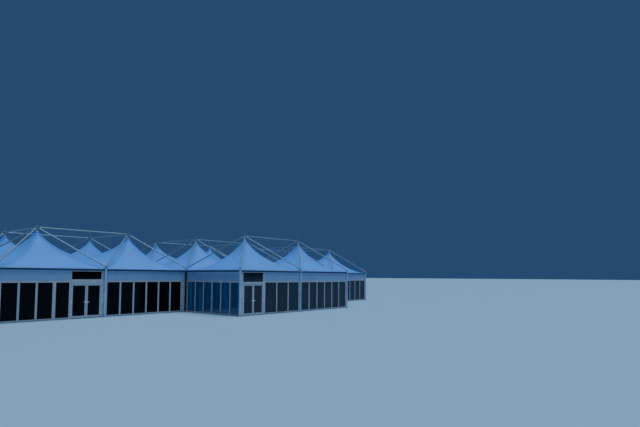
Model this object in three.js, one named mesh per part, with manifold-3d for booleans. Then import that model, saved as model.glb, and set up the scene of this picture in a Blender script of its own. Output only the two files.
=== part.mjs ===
// A modular tensile marquee: fourteen square modules under four membrane roofs, which hang from an
// outside frame of tubes, with glazed walls all round and two double doors.
// Millimetres, +Z up. The long hall runs along X, and the entrance block stands in front of it, at -Y.
// The origin is on the ground under the middle of the plan.
import * as THREE from "three";
import { mergeVertices } from "three/addons/utils/BufferGeometryUtils.js";
import Module from "manifold-3d";

const wasm = await Module();
wasm.setup();

// Plan
const MODULE = 6000;
const HALL_COLUMNS = 6;
const HALL_LEFT = (-HALL_COLUMNS * MODULE) / 2;
const FRONT = -1.5 * MODULE;
const HALL_FRONT = FRONT + MODULE;
const BACK = 1.5 * MODULE;
const PORCH_LEFT = -MODULE;
const GAP = 0.3;

// Legs and eaves
const LEG = 100;
const LEG_HALF = LEG / 2;
const BASE_HALF = 120;
const BASE_THICK = 12;
const EAVE_TOP = 3050;
const EAVE_DEEP = 100;
const STUB_RADIUS = 48;
const STUB_TOP = 3110;
const SHOE_RADIUS = 75;
const SHOE_TOP = 3270;

// Outside frame
const STRUT_RADIUS = 45;
const STRUT_FOOT = 3200;
const APEX = 5650;
const HUB_RADIUS = 110;
const HUB_LOW = 5570;
const HUB_TOP = 5720;
const ROD_RADIUS = 20;
const SPIKE_RADIUS = 16;
const SPIKE_TOP = 5960;
const CAP_RADIUS = 120;
const CAP_THICK = 25;

// Membrane
const PEAK = 5350;
const PEAK_RADIUS = 200;
const SKIN = 15;
const SKIN_EDGE = EAVE_TOP + GAP + SKIN;
const FULLNESS = 0.4;
const VALLEY = 0.5;
const FILM_STEP = 100;
const FILM_SWEEPS = 500;
const OVER_RELAX = 1.9;
const GUTTER_HALF = 30;
const NOTCH_HALF = 90;
const RINGS_FROM_PEAK = [0, 130, 400, 950, 1800, 3000];

// Walls
const WALL_OUT = LEG_HALF + GAP;
const WALL_IN = 110;
const WALL_FOOT = BASE_THICK + GAP;
const WALL_TOP = 2330;
const SILL = 100;
const WINDOW_HEAD = 2210;
const POST_HALF = 160;
const MULLION = 100;
const CORNER_POST = 320;
const INNER_POST = 390;
const END_POST = 60;
const BROAD_MULLION = 170;
const BROAD_MULLION_AT = 2930;
const PANES_A_BAY = 6;
const GLASS_OUT = WALL_IN + GAP;
const GLASS = 8;
const GLASS_LAP = 30;
const GLASS_END = 130;
const BAND_IN = 80;
const BAND_TOP = EAVE_TOP - EAVE_DEEP - GAP;

// Doors
const DOOR_WIDTH = 1800;
const DOOR_HEAD = 2100;
const PORTAL_TOP = 2920;
const PORTAL_POST = 60;
const PORCH_POST = 170;
const HALL_DOOR_AT = 3975;
const PORCH_DOOR_AT = 330;
const LEAF_GAP = 6;
const MEETING_GAP = 10;
const LEAF_OUT = 52;
const LEAF_THICK = 45;
const LEAF_LOW = 35;
const LEAF_TOP = 2090;
const STILE = 75;
const LEAF_SILL = 120;
const LEAF_PANE = 8;
const AXIS_OUT = 38;
const KNUCKLE_RADIUS = 9;
const KNUCKLE_LONG = 45;
const STRAP_LONG = 43;
const STRAP_OUT = 44;
const HINGE_HEIGHTS = [250, 1000, 1750];
const HANDLE_HEIGHT = 1000;
const HANDLE_REACH = 50;
const LEVER_LONG = 120;

const paint = (color, roughness, metalness) =>
  new THREE.MeshStandardMaterial({ color, roughness, metalness });
const membraneWhite = paint(0xdfe6ef, 0.55, 0);
const tubeGrey = paint(0xb9bec6, 0.4, 0.8);
const frameWhite = paint(0xd8dde4, 0.45, 0.1);
const eaveGrey = paint(0x4a5a78, 0.5, 0.5);
const bandBlue = paint(0xaab9cf, 0.6, 0);
const glassBlue = new THREE.MeshStandardMaterial({
  color: 0x16283a,
  roughness: 0.08,
  metalness: 0,
  transparent: true,
  opacity: 0.55,
});

const marquee = new THREE.Group();

// Solids

function solid(geometry) {
  geometry.deleteAttribute("normal");
  geometry.deleteAttribute("uv");
  const merged = mergeVertices(geometry, 1e-3);
  return new wasm.Manifold(
    new wasm.Mesh({
      numProp: 3,
      vertProperties: new Float32Array(merged.attributes.position.array),
      triVerts: new Uint32Array(merged.index.array),
    }),
  );
}

function join(solids) {
  return solids.reduce((whole, next) => whole.add(next));
}

function block(x0, x1, y0, y1, z0, z1) {
  const box = new THREE.BoxGeometry(x1 - x0, y1 - y0, z1 - z0);
  return solid(box.translate((x0 + x1) / 2, (y0 + y1) / 2, (z0 + z1) / 2));
}

// An upright prism of eight sides.
function post(x, y, z0, z1, radius) {
  const prism = new THREE.CylinderGeometry(radius, radius, z1 - z0, 8);
  return solid(prism.rotateX(Math.PI / 2).translate(x, y, (z0 + z1) / 2));
}

// A straight tube from point to point, drawn as a bar of six sides.
function bar(from, to, radius) {
  const a = new THREE.Vector3(...from);
  const b = new THREE.Vector3(...to);
  const length = a.distanceTo(b);
  const cylinder = new THREE.CylinderGeometry(radius, radius, length, 6);
  const along = b.clone().sub(a).normalize();
  const turn = new THREE.Quaternion().setFromUnitVectors(new THREE.Vector3(0, 1, 0), along);
  cylinder.applyQuaternion(turn);
  const middle = a.add(b).multiplyScalar(0.5);
  return solid(cylinder.translate(middle.x, middle.y, middle.z));
}

function add(name, body, material) {
  const made = body.getMesh();
  const geometry = new THREE.BufferGeometry();
  geometry.setAttribute("position", new THREE.BufferAttribute(made.vertProperties, 3));
  geometry.setIndex(new THREE.BufferAttribute(made.triVerts, 1));
  const mesh = new THREE.Mesh(geometry, material);
  mesh.name = name;
  marquee.add(mesh);
}

// The four roof units, each under one membrane: corner of the unit and how many modules it covers.
const units = [
  { name: "west", x: HALL_LEFT, y: HALL_FRONT, across: 2, deep: 2 },
  { name: "middle", x: PORCH_LEFT, y: HALL_FRONT, across: 2, deep: 2 },
  { name: "east", x: -PORCH_LEFT, y: HALL_FRONT, across: 2, deep: 2 },
  { name: "porch", x: PORCH_LEFT, y: FRONT, across: 2, deep: 1 },
];

function apexesOf(unit) {
  const apexes = [];
  for (let i = 0; i < unit.across; i += 1) {
    for (let j = 0; j < unit.deep; j += 1) {
      apexes.push([unit.x + (i + 0.5) * MODULE, unit.y + (j + 0.5) * MODULE]);
    }
  }
  return apexes;
}

function nodesOf(unit) {
  const nodes = [];
  for (let i = 0; i <= unit.across; i += 1) {
    for (let j = 0; j <= unit.deep; j += 1) {
      nodes.push([unit.x + i * MODULE, unit.y + j * MODULE]);
    }
  }
  return nodes;
}

const same = ([ax, ay], [bx, by]) => ax === bx && ay === by;
const unitsAt = (node) =>
  units.filter((unit) => nodesOf(unit).some((other) => same(other, node)));

function isInside(unit, [x, y]) {
  const right = unit.x + unit.across * MODULE;
  const rear = unit.y + unit.deep * MODULE;
  return x > unit.x && x < right && y > unit.y && y < rear;
}

// Legs and eaves: each frame is the posts and eave beams of one unit. The middle unit's frame owns
// the lines that it shares with its three neighbours, whose beams butt against it.

const middleUnit = units[1];

function ownedBy(unit, node) {
  const others = unitsAt(node);
  return unit === middleUnit || !others.includes(middleUnit);
}

function eaveBeams(unit) {
  const right = unit.x + unit.across * MODULE;
  const rear = unit.y + unit.deep * MODULE;
  const low = EAVE_TOP - EAVE_DEEP;
  const butt = LEG_HALF + GAP;
  const x0 = unit.x + (unit.name === "east" ? butt : -LEG_HALF);
  const x1 = right + (unit.name === "west" ? -butt : LEG_HALF);
  const y1 = rear + (unit.name === "porch" ? -butt : LEG_HALF);
  const alongX = (y) => block(x0, x1, y - LEG_HALF, y + LEG_HALF, low, EAVE_TOP);
  const alongY = (x) =>
    block(x - LEG_HALF, x + LEG_HALF, unit.y - LEG_HALF, y1, low, EAVE_TOP);
  const beams = [alongX(unit.y)];
  if (unit.name !== "porch") beams.push(alongX(rear));
  if (unit.name !== "east") beams.push(alongY(unit.x));
  if (unit.name !== "west") beams.push(alongY(right));
  return beams;
}

function leg([x, y], shared) {
  const pieces = [
    block(x - BASE_HALF, x + BASE_HALF, y - BASE_HALF, y + BASE_HALF, 0, BASE_THICK),
    block(x - LEG_HALF, x + LEG_HALF, y - LEG_HALF, y + LEG_HALF, 0, EAVE_TOP),
    post(x, y, EAVE_TOP - EAVE_DEEP / 2, STUB_TOP, STUB_RADIUS),
  ];
  if (shared) pieces.push(post(x, y, STUB_TOP, SHOE_TOP, SHOE_RADIUS));
  return join(pieces);
}

for (const unit of units) {
  const legs = nodesOf(unit)
    .filter((node) => !isInside(unit, node) && ownedBy(unit, node))
    .map((node) => leg(node, unitsAt(node).length > 1));
  add("leg_frame_" + unit.name, join([...legs, ...eaveBeams(unit)]), eaveGrey);
}

// Roof frames: over every module stands an apex with a hub and a spike. Struts run from it to the
// legs at the corners of the module, tubes join it to its neighbours in the unit, and under it a rod
// with a cap holds up the peak of the membrane. No strut runs to the middle of a four-module unit.
// The struts end in shoes, or butt against the shoe of a leg that two units share.

function strutsFrom(unit, [x, y]) {
  return nodesOf(unit)
    .filter((node) => Math.abs(node[0] - x) < MODULE && Math.abs(node[1] - y) < MODULE)
    .filter((node) => !isInside(unit, node))
    .map((node) => bar([x, y, APEX], [...node, STRUT_FOOT], STRUT_RADIUS));
}

for (const unit of units) {
  const apexes = apexesOf(unit);
  const pieces = apexes.flatMap(([x, y]) => [
    post(x, y, HUB_LOW, HUB_TOP, HUB_RADIUS),
    post(x, y, APEX, SPIKE_TOP, SPIKE_RADIUS),
    post(x, y, PEAK + GAP, APEX, ROD_RADIUS),
    post(x, y, PEAK + GAP, PEAK + GAP + CAP_THICK, CAP_RADIUS),
    ...strutsFrom(unit, [x, y]),
  ]);
  apexes.forEach((here, i) => {
    for (const there of apexes.slice(i + 1)) {
      if (Math.hypot(there[0] - here[0], there[1] - here[1]) > MODULE) continue;
      pieces.push(bar([...here, APEX], [...there, APEX], STRUT_RADIUS));
    }
  });
  let frame = join(pieces);
  for (const node of nodesOf(unit).filter((corner) => !isInside(unit, corner))) {
    const [x, y] = node;
    frame =
      unitsAt(node).length > 1
        ? frame.subtract(post(x, y, EAVE_TOP, SHOE_TOP + GAP, SHOE_RADIUS + GAP))
        : frame.add(post(x, y, STUB_TOP + GAP, SHOE_TOP, SHOE_RADIUS));
  }
  add("roof_frame_" + unit.name, frame, tubeGrey);
}

// Membrane: a taut film, relaxed on a square grid. It is held straight along the eaves and at the
// caps under the hubs. Cables in the valleys between the modules draw it down to the share VALLEY of
// the height that it would have there, and it is free everywhere else.
// Its stiffness falls away from the nearest peak, which fills out the flanks as the real cut does.

function filmOf(unit) {
  const columns = (unit.across * MODULE) / FILM_STEP;
  const rows = (unit.deep * MODULE) / FILM_STEP;
  const centres = apexesOf(unit).map(([x, y]) => [x - unit.x, y - unit.y]);
  const at = (i, j) => i * (rows + 1) + j;
  const height = new Float64Array((columns + 1) * (rows + 1)).fill(SKIN_EDGE);
  const weight = new Float64Array(height.length);
  const held = new Uint8Array(height.length);
  for (let i = 0; i <= columns; i += 1) {
    for (let j = 0; j <= rows; j += 1) {
      const away = Math.min(
        ...centres.map(([x, y]) => Math.hypot(i * FILM_STEP - x, j * FILM_STEP - y)),
      );
      weight[at(i, j)] = Math.max(away, FILM_STEP) ** -FULLNESS;
      const edge = i === 0 || j === 0 || i === columns || j === rows;
      if (edge) held[at(i, j)] = 1;
      if (away <= PEAK_RADIUS) {
        held[at(i, j)] = 1;
        height[at(i, j)] = PEAK;
      }
    }
  }
  const relax = () => {
    for (let sweep = 0; sweep < FILM_SWEEPS; sweep += 1) {
      for (let i = 1; i < columns; i += 1) {
        for (let j = 1; j < rows; j += 1) {
          const here = at(i, j);
          if (held[here]) continue;
          let pull = 0;
          let stiffness = 0;
          for (const there of [here - 1, here + 1, at(i - 1, j), at(i + 1, j)]) {
            const link = weight[here] + weight[there];
            pull += link * height[there];
            stiffness += link;
          }
          height[here] += OVER_RELAX * (pull / stiffness - height[here]);
        }
      }
    }
  };
  relax();
  const pitch = MODULE / FILM_STEP;
  for (let i = 1; i < columns; i += 1) {
    for (let j = 1; j < rows; j += 1) {
      if (i % pitch && j % pitch) continue;
      height[at(i, j)] = SKIN_EDGE + VALLEY * (height[at(i, j)] - SKIN_EDGE);
      held[at(i, j)] = 1;
    }
  }
  relax();
  return (x, y) => height[at(Math.round(x / FILM_STEP), Math.round(y / FILM_STEP))];
}

// Where the sheet is cut along one side: lines that crowd towards every peak, with a flat hem on the
// eave at both ends.
function cutLines(modules, sharedStart, sharedEnd) {
  const length = modules * MODULE;
  const inner = new Set();
  for (let k = 0; k < modules; k += 1) {
    for (const ring of RINGS_FROM_PEAK) {
      inner.add((k + 0.5) * MODULE - ring);
      inner.add((k + 0.5) * MODULE + ring);
    }
  }
  inner.delete(0);
  inner.delete(length);
  const start = sharedStart ? GUTTER_HALF : -LEG_HALF;
  const end = sharedEnd ? GUTTER_HALF : -LEG_HALF;
  const lines = [...inner].sort((a, b) => a - b);
  return [start, LEG_HALF, ...lines, length - LEG_HALF, length - end];
}

for (const unit of units) {
  const film = filmOf(unit);
  const across = cutLines(unit.across, unit.name !== "west" && unit.name !== "porch",
    unit.name !== "east" && unit.name !== "porch");
  const deep = cutLines(unit.deep, unit.name === "middle", unit.name === "porch");
  const sheet = new THREE.BoxGeometry(1, 1, 1, across.length - 1, deep.length - 1, 1);
  const points = sheet.attributes.position;
  const hem = (lines, k) => k < 2 || k > lines.length - 3;
  for (let k = 0; k < points.count; k += 1) {
    const i = Math.round((points.getX(k) + 0.5) * (across.length - 1));
    const j = Math.round((points.getY(k) + 0.5) * (deep.length - 1));
    const flat = hem(across, i) || hem(deep, j);
    const top = flat ? SKIN_EDGE : film(across[i], deep[j]);
    points.setXYZ(k, unit.x + across[i], unit.y + deep[j], points.getZ(k) > 0 ? top : top - SKIN);
  }
  let canopy = solid(sheet);
  for (const [x, y] of nodesOf(unit).filter((node) => !isInside(unit, node))) {
    canopy = canopy.subtract(
      block(x - NOTCH_HALF, x + NOTCH_HALF, y - NOTCH_HALF, y + NOTCH_HALF, EAVE_TOP, SHOE_TOP),
    );
  }
  add("canopy_" + unit.name, canopy, membraneWhite);
}

// Walls: every run has its own axes, with s along the wall, n inwards from the line of the legs, and
// z up. Going round the plan anticlockwise keeps the inside on the left.

const runs = {
  hall_front_west: { at: [HALL_LEFT, HALL_FRONT], turn: 0 },
  porch_west: { at: [PORCH_LEFT, HALL_FRONT], turn: -Math.PI / 2 },
  porch_front: { at: [PORCH_LEFT, FRONT], turn: 0 },
  porch_east: { at: [-PORCH_LEFT, FRONT], turn: Math.PI / 2 },
  hall_front_east: { at: [-PORCH_LEFT, HALL_FRONT], turn: 0 },
  east: { at: [-HALL_LEFT, HALL_FRONT], turn: Math.PI / 2 },
  back: { at: [-HALL_LEFT, BACK], turn: Math.PI },
  west: { at: [HALL_LEFT, BACK], turn: -Math.PI / 2 },
};

function placed(geometry, run) {
  geometry.rotateZ(run.turn);
  return solid(geometry.translate(run.at[0], run.at[1], 0));
}

function slab(run, s0, s1, n0, n1, z0, z1) {
  const box = new THREE.BoxGeometry(s1 - s0, n1 - n0, z1 - z0);
  return placed(box.translate((s0 + s1) / 2, (n0 + n1) / 2, (z0 + z1) / 2), run);
}

// A flat panel in the plane of the wall, from n0 to n1, with rectangular holes [s0, s1, z0, z1].
function panel(run, [s0, s1, z0, z1], holes, n0, n1) {
  const plate = slab(run, s0, s1, n0, n1, z0, z1);
  return holes.reduce(
    (left, [a, b, low, high]) => left.subtract(slab(run, a, b, n0 - GAP, n1 + GAP, low, high)),
    plate,
  );
}

// Equal panes between two posts, parted by mullions.
function panes(from, to, count) {
  const pitch = (to - from + MULLION) / count;
  return Array.from({ length: count }, (_, k) => [
    from + k * pitch,
    from + (k + 1) * pitch - MULLION,
  ]);
}

function bayPanes(bays) {
  return Array.from({ length: bays }, (_, k) =>
    panes(k * MODULE + POST_HALF, (k + 1) * MODULE - POST_HALF, PANES_A_BAY),
  ).flat();
}

function glazedWall(name, run, s0, s1, holes, glassFrom = s0, glassTo = s1) {
  const windows = holes.map(([from, to]) => [from, to, SILL, WINDOW_HEAD]);
  add(
    name + "_frame",
    panel(run, [s0, s1, WALL_FOOT, WALL_TOP], windows, WALL_OUT, WALL_IN),
    frameWhite,
  );
  add(
    name + "_glass",
    slab(run, glassFrom, glassTo, GLASS_OUT, GLASS_OUT + GLASS, SILL - GLASS_LAP,
      WINDOW_HEAD + GLASS_LAP),
    glassBlue,
  );
}

// Where a wall starts and stops. Walls along X run through at the corners, and walls along Y stop
// against them.
const ALONG_X = WALL_OUT;
const ALONG_Y = WALL_IN + GAP;
const PAST_INNER_CORNER = WALL_IN;
const TO_INNER_CORNER = WALL_OUT - GAP;
const HALL = 2 * MODULE;

const hallDoorLeft = HALL_DOOR_AT - PORTAL_POST;
const hallDoorRight = HALL_DOOR_AT + DOOR_WIDTH + PORTAL_POST;
const porchDoorRight = PORCH_DOOR_AT + DOOR_WIDTH + PORCH_POST;

const hallLeftPanes = [
  ...panes(CORNER_POST, BROAD_MULLION_AT, 3),
  [BROAD_MULLION_AT + BROAD_MULLION, hallDoorLeft - END_POST],
];
const secondBay = bayPanes(2).filter(([from]) => from > MODULE);
glazedWall("hall_front_west_left", runs.hall_front_west, ALONG_X, hallDoorLeft - GAP,
  hallLeftPanes, GLASS_END);
glazedWall("hall_front_west_right", runs.hall_front_west, hallDoorRight + GAP,
  HALL + PAST_INNER_CORNER, panes(MODULE + POST_HALF, HALL - INNER_POST, PANES_A_BAY));
glazedWall("hall_front_east", runs.hall_front_east, -PAST_INNER_CORNER, HALL - ALONG_X,
  [...panes(INNER_POST, MODULE - POST_HALF, PANES_A_BAY), ...secondBay],
  -PAST_INNER_CORNER, HALL - GLASS_END);
glazedWall("porch_west", runs.porch_west, -TO_INNER_CORNER, MODULE - ALONG_Y, bayPanes(1),
  -TO_INNER_CORNER, MODULE - GLASS_END);
glazedWall("porch_east", runs.porch_east, ALONG_Y, MODULE + TO_INNER_CORNER, bayPanes(1),
  GLASS_END, MODULE + TO_INNER_CORNER);
glazedWall("porch_front", runs.porch_front, porchDoorRight + GAP, HALL - ALONG_X,
  [...panes(porchDoorRight + END_POST, MODULE - POST_HALF, 3), ...secondBay],
  porchDoorRight + GAP, HALL - GLASS_END);
glazedWall("east_wall", runs.east, ALONG_Y, HALL - ALONG_Y, bayPanes(2), GLASS_END,
  HALL - GLASS_END);
glazedWall("back_wall", runs.back, ALONG_X, 3 * HALL - ALONG_X, bayPanes(6), GLASS_END,
  3 * HALL - GLASS_END);
glazedWall("west_wall", runs.west, ALONG_Y, HALL - ALONG_Y, bayPanes(2), GLASS_END,
  HALL - GLASS_END);

// Door portals: two posts and a head that frame the doorway and the transom light over it.

const portals = [
  {
    name: "hall_door",
    run: runs.hall_front_west,
    at: HALL_DOOR_AT,
    left: hallDoorLeft,
    right: hallDoorRight,
    transom: [2380, 2880],
  },
  {
    name: "porch_door",
    run: runs.porch_front,
    at: PORCH_DOOR_AT,
    left: ALONG_X,
    right: porchDoorRight,
    transom: [2250, 2890],
  },
];

// The two plates and the barrel of one half hinge, fixed to a face at n.
function halfHinge(run, axis, towards, face, z0) {
  const z1 = z0 + KNUCKLE_LONG;
  const knuckle = new THREE.CylinderGeometry(KNUCKLE_RADIUS, KNUCKLE_RADIUS, KNUCKLE_LONG, 8);
  knuckle.rotateX(Math.PI / 2).translate(axis, AXIS_OUT, (z0 + z1) / 2);
  const end = axis + towards * STRAP_LONG;
  return placed(knuckle, run).add(
    slab(run, Math.min(axis, end), Math.max(axis, end), STRAP_OUT, face + GAP, z0, z1),
  );
}

for (const { name, run, at, left, right, transom } of portals) {
  const end = at + DOOR_WIDTH;
  const frame = panel(
    run,
    [left, right, WALL_FOOT, PORTAL_TOP - GAP],
    [[at, end, 0, DOOR_HEAD], [at, end, ...transom]],
    WALL_OUT,
    WALL_IN,
  );
  const hinges = HINGE_HEIGHTS.flatMap((z) => [
    halfHinge(run, at + LEAF_GAP / 2, -1, WALL_OUT, z),
    halfHinge(run, end - LEAF_GAP / 2, 1, WALL_OUT, z),
  ]);
  add(name + "_portal", join([frame, ...hinges]), frameWhite);
  add(
    name + "_transom",
    slab(run, at - GLASS_LAP, end + GLASS_LAP, GLASS_OUT, GLASS_OUT + GLASS,
      transom[0] - GLASS_LAP, transom[1] + GLASS_LAP / 2),
    glassBlue,
  );
}

// Door leaves: a frame of stiles and rails round a pane, with half hinges and a lever on each face.

function doorLeaf(run, s0, s1, hingeAt, towards, lockAt) {
  const face = LEAF_OUT;
  const rear = LEAF_OUT + LEAF_THICK;
  const middle = (face + rear) / 2;
  const light = [s0 + STILE, s1 - STILE, LEAF_LOW + LEAF_SILL, LEAF_TOP - STILE];
  const pane = slab(run, s0 + STILE / 2, s1 - STILE / 2, middle - LEAF_PANE / 2,
    middle + LEAF_PANE / 2, LEAF_LOW + LEAF_SILL / 2, LEAF_TOP - STILE / 2);
  const hinges = HINGE_HEIGHTS.map((z) =>
    halfHinge(run, hingeAt, towards, LEAF_OUT, z + KNUCKLE_LONG + GAP),
  );
  const leverEnd = lockAt - towards * LEVER_LONG;
  const [lever0, lever1] = [Math.min(lockAt, leverEnd), Math.max(lockAt, leverEnd)];
  const grip = 20;
  const lever = (n0, n1) =>
    slab(run, lever0, lever1, n0, n1, HANDLE_HEIGHT - grip / 2, HANDLE_HEIGHT + grip / 2);
  const neck = slab(run, lockAt - grip / 2, lockAt + grip / 2, face - HANDLE_REACH + GAP,
    rear + HANDLE_REACH - GAP, HANDLE_HEIGHT - grip / 2, HANDLE_HEIGHT + grip / 2);
  return join([
    panel(run, [s0, s1, LEAF_LOW, LEAF_TOP], [light], face, rear),
    pane,
    ...hinges,
    neck,
    lever(face - HANDLE_REACH, face - HANDLE_REACH + grip),
    lever(rear + HANDLE_REACH - grip, rear + HANDLE_REACH),
  ]);
}

for (const { name, run, at } of portals) {
  const end = at + DOOR_WIDTH;
  const axisLeft = at + LEAF_GAP / 2;
  const axisRight = end - LEAF_GAP / 2;
  const leftEnd = (at + end - MEETING_GAP) / 2;
  const rightStart = leftEnd + MEETING_GAP;
  add(
    name + "_leaf_left",
    doorLeaf(run, at + LEAF_GAP, leftEnd, axisLeft, 1, leftEnd - STILE / 2),
    frameWhite,
  );
  add(
    name + "_leaf_right",
    doorLeaf(run, rightStart, end - LEAF_GAP, axisRight, -1, rightStart + STILE / 2),
    frameWhite,
  );
}

// Band: the pale strip between the window heads and the eave. Over a portal it is a narrow strip.

function bandAlong(run, s0, s1) {
  return slab(run, s0, s1, WALL_OUT, BAND_IN, WALL_TOP + GAP, BAND_TOP);
}

function roomFor({ run, left, right }) {
  return slab(run, left - GAP, right + GAP, 0, WALL_IN + GAP, 0, PORTAL_TOP);
}

const [hallDoor, porchDoor] = portals;
const bandWest = join([
  bandAlong(runs.hall_front_west, ALONG_X, HALL + BAND_IN),
  bandAlong(runs.west, ALONG_X, HALL - ALONG_X),
  bandAlong(runs.back, 2 * HALL + GAP, 3 * HALL - ALONG_X),
]);
const bandEast = join([
  bandAlong(runs.hall_front_east, -BAND_IN, HALL - ALONG_X),
  bandAlong(runs.east, ALONG_X, HALL - ALONG_X),
  bandAlong(runs.back, ALONG_X, HALL - GAP),
]);
const bandPorch = join([
  bandAlong(runs.porch_west, -TO_INNER_CORNER, MODULE - ALONG_X),
  bandAlong(runs.porch_front, ALONG_X, HALL - ALONG_X),
  bandAlong(runs.porch_east, ALONG_X, MODULE + TO_INNER_CORNER),
]);
add("band_west", bandWest.subtract(roomFor(hallDoor)), bandBlue);
add("band_east", bandEast, bandBlue);
add("band_back", bandAlong(runs.back, HALL, 2 * HALL), bandBlue);
add("band_porch", bandPorch.subtract(roomFor(porchDoor)), bandBlue);

export default marquee;
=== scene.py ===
# A modular tensile marquee with glazed walls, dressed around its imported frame.
# Metres, +Z up. The hall runs along X and the entrance block stands in front of it, at -Y.
import math
from collections import namedtuple

import bmesh
import bpy
import numpy as np
from bpy.props import FloatProperty, FloatVectorProperty, PointerProperty
from bpy.types import Operator, Panel, PropertyGroup
from mathutils import Matrix, Vector


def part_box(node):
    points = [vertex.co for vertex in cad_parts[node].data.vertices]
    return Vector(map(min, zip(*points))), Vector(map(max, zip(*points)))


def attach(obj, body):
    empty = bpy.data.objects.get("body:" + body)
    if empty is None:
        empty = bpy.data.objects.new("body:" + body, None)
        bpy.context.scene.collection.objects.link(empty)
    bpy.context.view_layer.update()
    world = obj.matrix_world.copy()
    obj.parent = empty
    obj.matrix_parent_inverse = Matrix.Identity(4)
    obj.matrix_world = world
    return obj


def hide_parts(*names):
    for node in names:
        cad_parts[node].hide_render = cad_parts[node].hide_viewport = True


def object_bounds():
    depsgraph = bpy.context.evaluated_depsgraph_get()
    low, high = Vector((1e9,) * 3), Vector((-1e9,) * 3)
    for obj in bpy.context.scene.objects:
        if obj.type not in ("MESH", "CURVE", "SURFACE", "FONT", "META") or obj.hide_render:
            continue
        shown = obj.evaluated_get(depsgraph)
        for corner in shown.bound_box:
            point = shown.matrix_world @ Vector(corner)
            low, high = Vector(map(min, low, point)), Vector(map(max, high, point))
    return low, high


bl_info = {
    "name": "Modular Tensile Marquee",
    "version": (1, 0, 0),
    "blender": (4, 5, 0),
    "location": "View3D > Sidebar > Marquee",
    "description": "Dresses a glazed marquee with membrane roofs and an outside tube frame",
    "category": "Object",
}

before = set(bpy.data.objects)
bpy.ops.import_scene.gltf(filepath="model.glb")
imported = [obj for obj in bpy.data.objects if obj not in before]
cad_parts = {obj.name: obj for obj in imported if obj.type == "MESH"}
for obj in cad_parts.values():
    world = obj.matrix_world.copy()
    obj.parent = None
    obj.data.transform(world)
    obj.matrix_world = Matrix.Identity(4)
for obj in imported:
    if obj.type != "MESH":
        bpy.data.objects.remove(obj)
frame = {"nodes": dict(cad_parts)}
CAD_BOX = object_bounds()
BODY = "marquee"

# Plan, worked out from the frame's own box
BASE_HALF = 0.12
MODULE = round((CAD_BOX[1].y - CAD_BOX[0].y - 2 * BASE_HALF) / 3, 3)
HALL_LEFT = round(CAD_BOX[0].x + BASE_HALF, 3)
HALL_FRONT = round(CAD_BOX[0].y + BASE_HALF + MODULE, 3)
FRONT = HALL_FRONT - MODULE
BACK = HALL_FRONT + 2 * MODULE
PORCH_LEFT = HALL_LEFT + 2 * MODULE
HALL = 2 * MODULE

# Heights of the outside frame
APEX = 5.65
STRUT_FOOT = 3.2
SPIKE_TOP = CAD_BOX[1].z
EAVE_TOP = 3.05
EAVE_LOW = 2.95

Unit = namedtuple("Unit", "name x y across deep")
UNITS = [
    Unit("west", HALL_LEFT, HALL_FRONT, 2, 2),
    Unit("middle", PORCH_LEFT, HALL_FRONT, 2, 2),
    Unit("east", -PORCH_LEFT, HALL_FRONT, 2, 2),
    Unit("porch", PORCH_LEFT, FRONT, 2, 1),
]


# Legs closer than this are one leg, and an apex within this reach is the next one
SAME_LEG = 0.01
NEXT_APEX = 1.1 * MODULE


def up(height):
    """The way straight up from the ground to a height."""
    return Vector((0, 0, height))


def apexes(unit):
    """The middle of every module of a unit."""
    return [
        Vector((unit.x + (i + 0.5) * MODULE, unit.y + (j + 0.5) * MODULE, 0))
        for i in range(unit.across)
        for j in range(unit.deep)
    ]


def legs_of(unit):
    """The places of the legs round the edge of a unit."""
    return [
        Vector((unit.x + i * MODULE, unit.y + j * MODULE, 0))
        for i in range(unit.across + 1)
        for j in range(unit.deep + 1)
        if i in (0, unit.across) or j in (0, unit.deep)
    ]


def is_shared(place):
    """Whether a leg stands under more than one unit."""
    return sum(any((leg - place).length < SAME_LEG for leg in legs_of(u)) for u in UNITS) > 1


def owner_of(place):
    """The unit whose leg frame holds a leg. The middle one holds all that it shares."""
    owners = [u.name for u in UNITS if any((leg - place).length < SAME_LEG for leg in legs_of(u))]
    return "middle" if "middle" in owners else owners[0]


# Walls: every run has its own axes, s along the wall, n inwards from the line of the legs, z up
def run_axes(x, y, degrees):
    return Matrix.Translation((x, y, 0)) @ Matrix.Rotation(math.radians(degrees), 4, "Z")


RUNS = {
    "hall_front_west": run_axes(HALL_LEFT, HALL_FRONT, 0),
    "porch_west": run_axes(PORCH_LEFT, HALL_FRONT, -90),
    "porch_front": run_axes(PORCH_LEFT, FRONT, 0),
    "porch_east": run_axes(-PORCH_LEFT, FRONT, 90),
    "hall_front_east": run_axes(-PORCH_LEFT, HALL_FRONT, 0),
    "east": run_axes(-HALL_LEFT, HALL_FRONT, 90),
    "back": run_axes(-HALL_LEFT, BACK, 180),
    "west": run_axes(HALL_LEFT, BACK, -90),
}


def span_in_run(node, run):
    """Where a node starts and stops along its run."""
    to_run = RUNS[run].inverted()
    ends = sorted((to_run @ corner).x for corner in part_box(node))
    return ends[0], ends[1]


# Settings that a user would change


class RoofSettings(PropertyGroup):
    """The membranes."""

    peak_height: FloatProperty(
        name="Peak height", description="Height of the membrane at its caps",
        default=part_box("canopy_middle")[1].z, unit="LENGTH")
    peak_radius: FloatProperty(
        name="Peak radius", description="Radius of the clamped ring at each peak",
        default=0.2, unit="LENGTH")
    fullness: FloatProperty(
        name="Fullness", description="How far the flanks are cut fuller than a soap film",
        default=0.4, min=0.05, max=1.0)
    valley: FloatProperty(
        name="Valley", description="Share of its free height that the film keeps over the valley cables",
        default=0.5, min=0.0, max=1.0)
    cloth: FloatProperty(
        name="Cloth", description="Thickness of the coated cloth", default=0.003, unit="LENGTH")
    colour: FloatVectorProperty(
        name="Membrane colour", description="Colour of the coated cloth", subtype="COLOR",
        default=(0.155, 0.355, 0.78), min=0, max=1)
    # Painted shade: the membrane is coloured darker towards its peaks
    peak_shade_colour: FloatVectorProperty(
        name="Peak colour", description="Colour of the membrane near its peaks", subtype="COLOR",
        default=(0.15, 0.31, 0.67), min=0, max=1)


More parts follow.
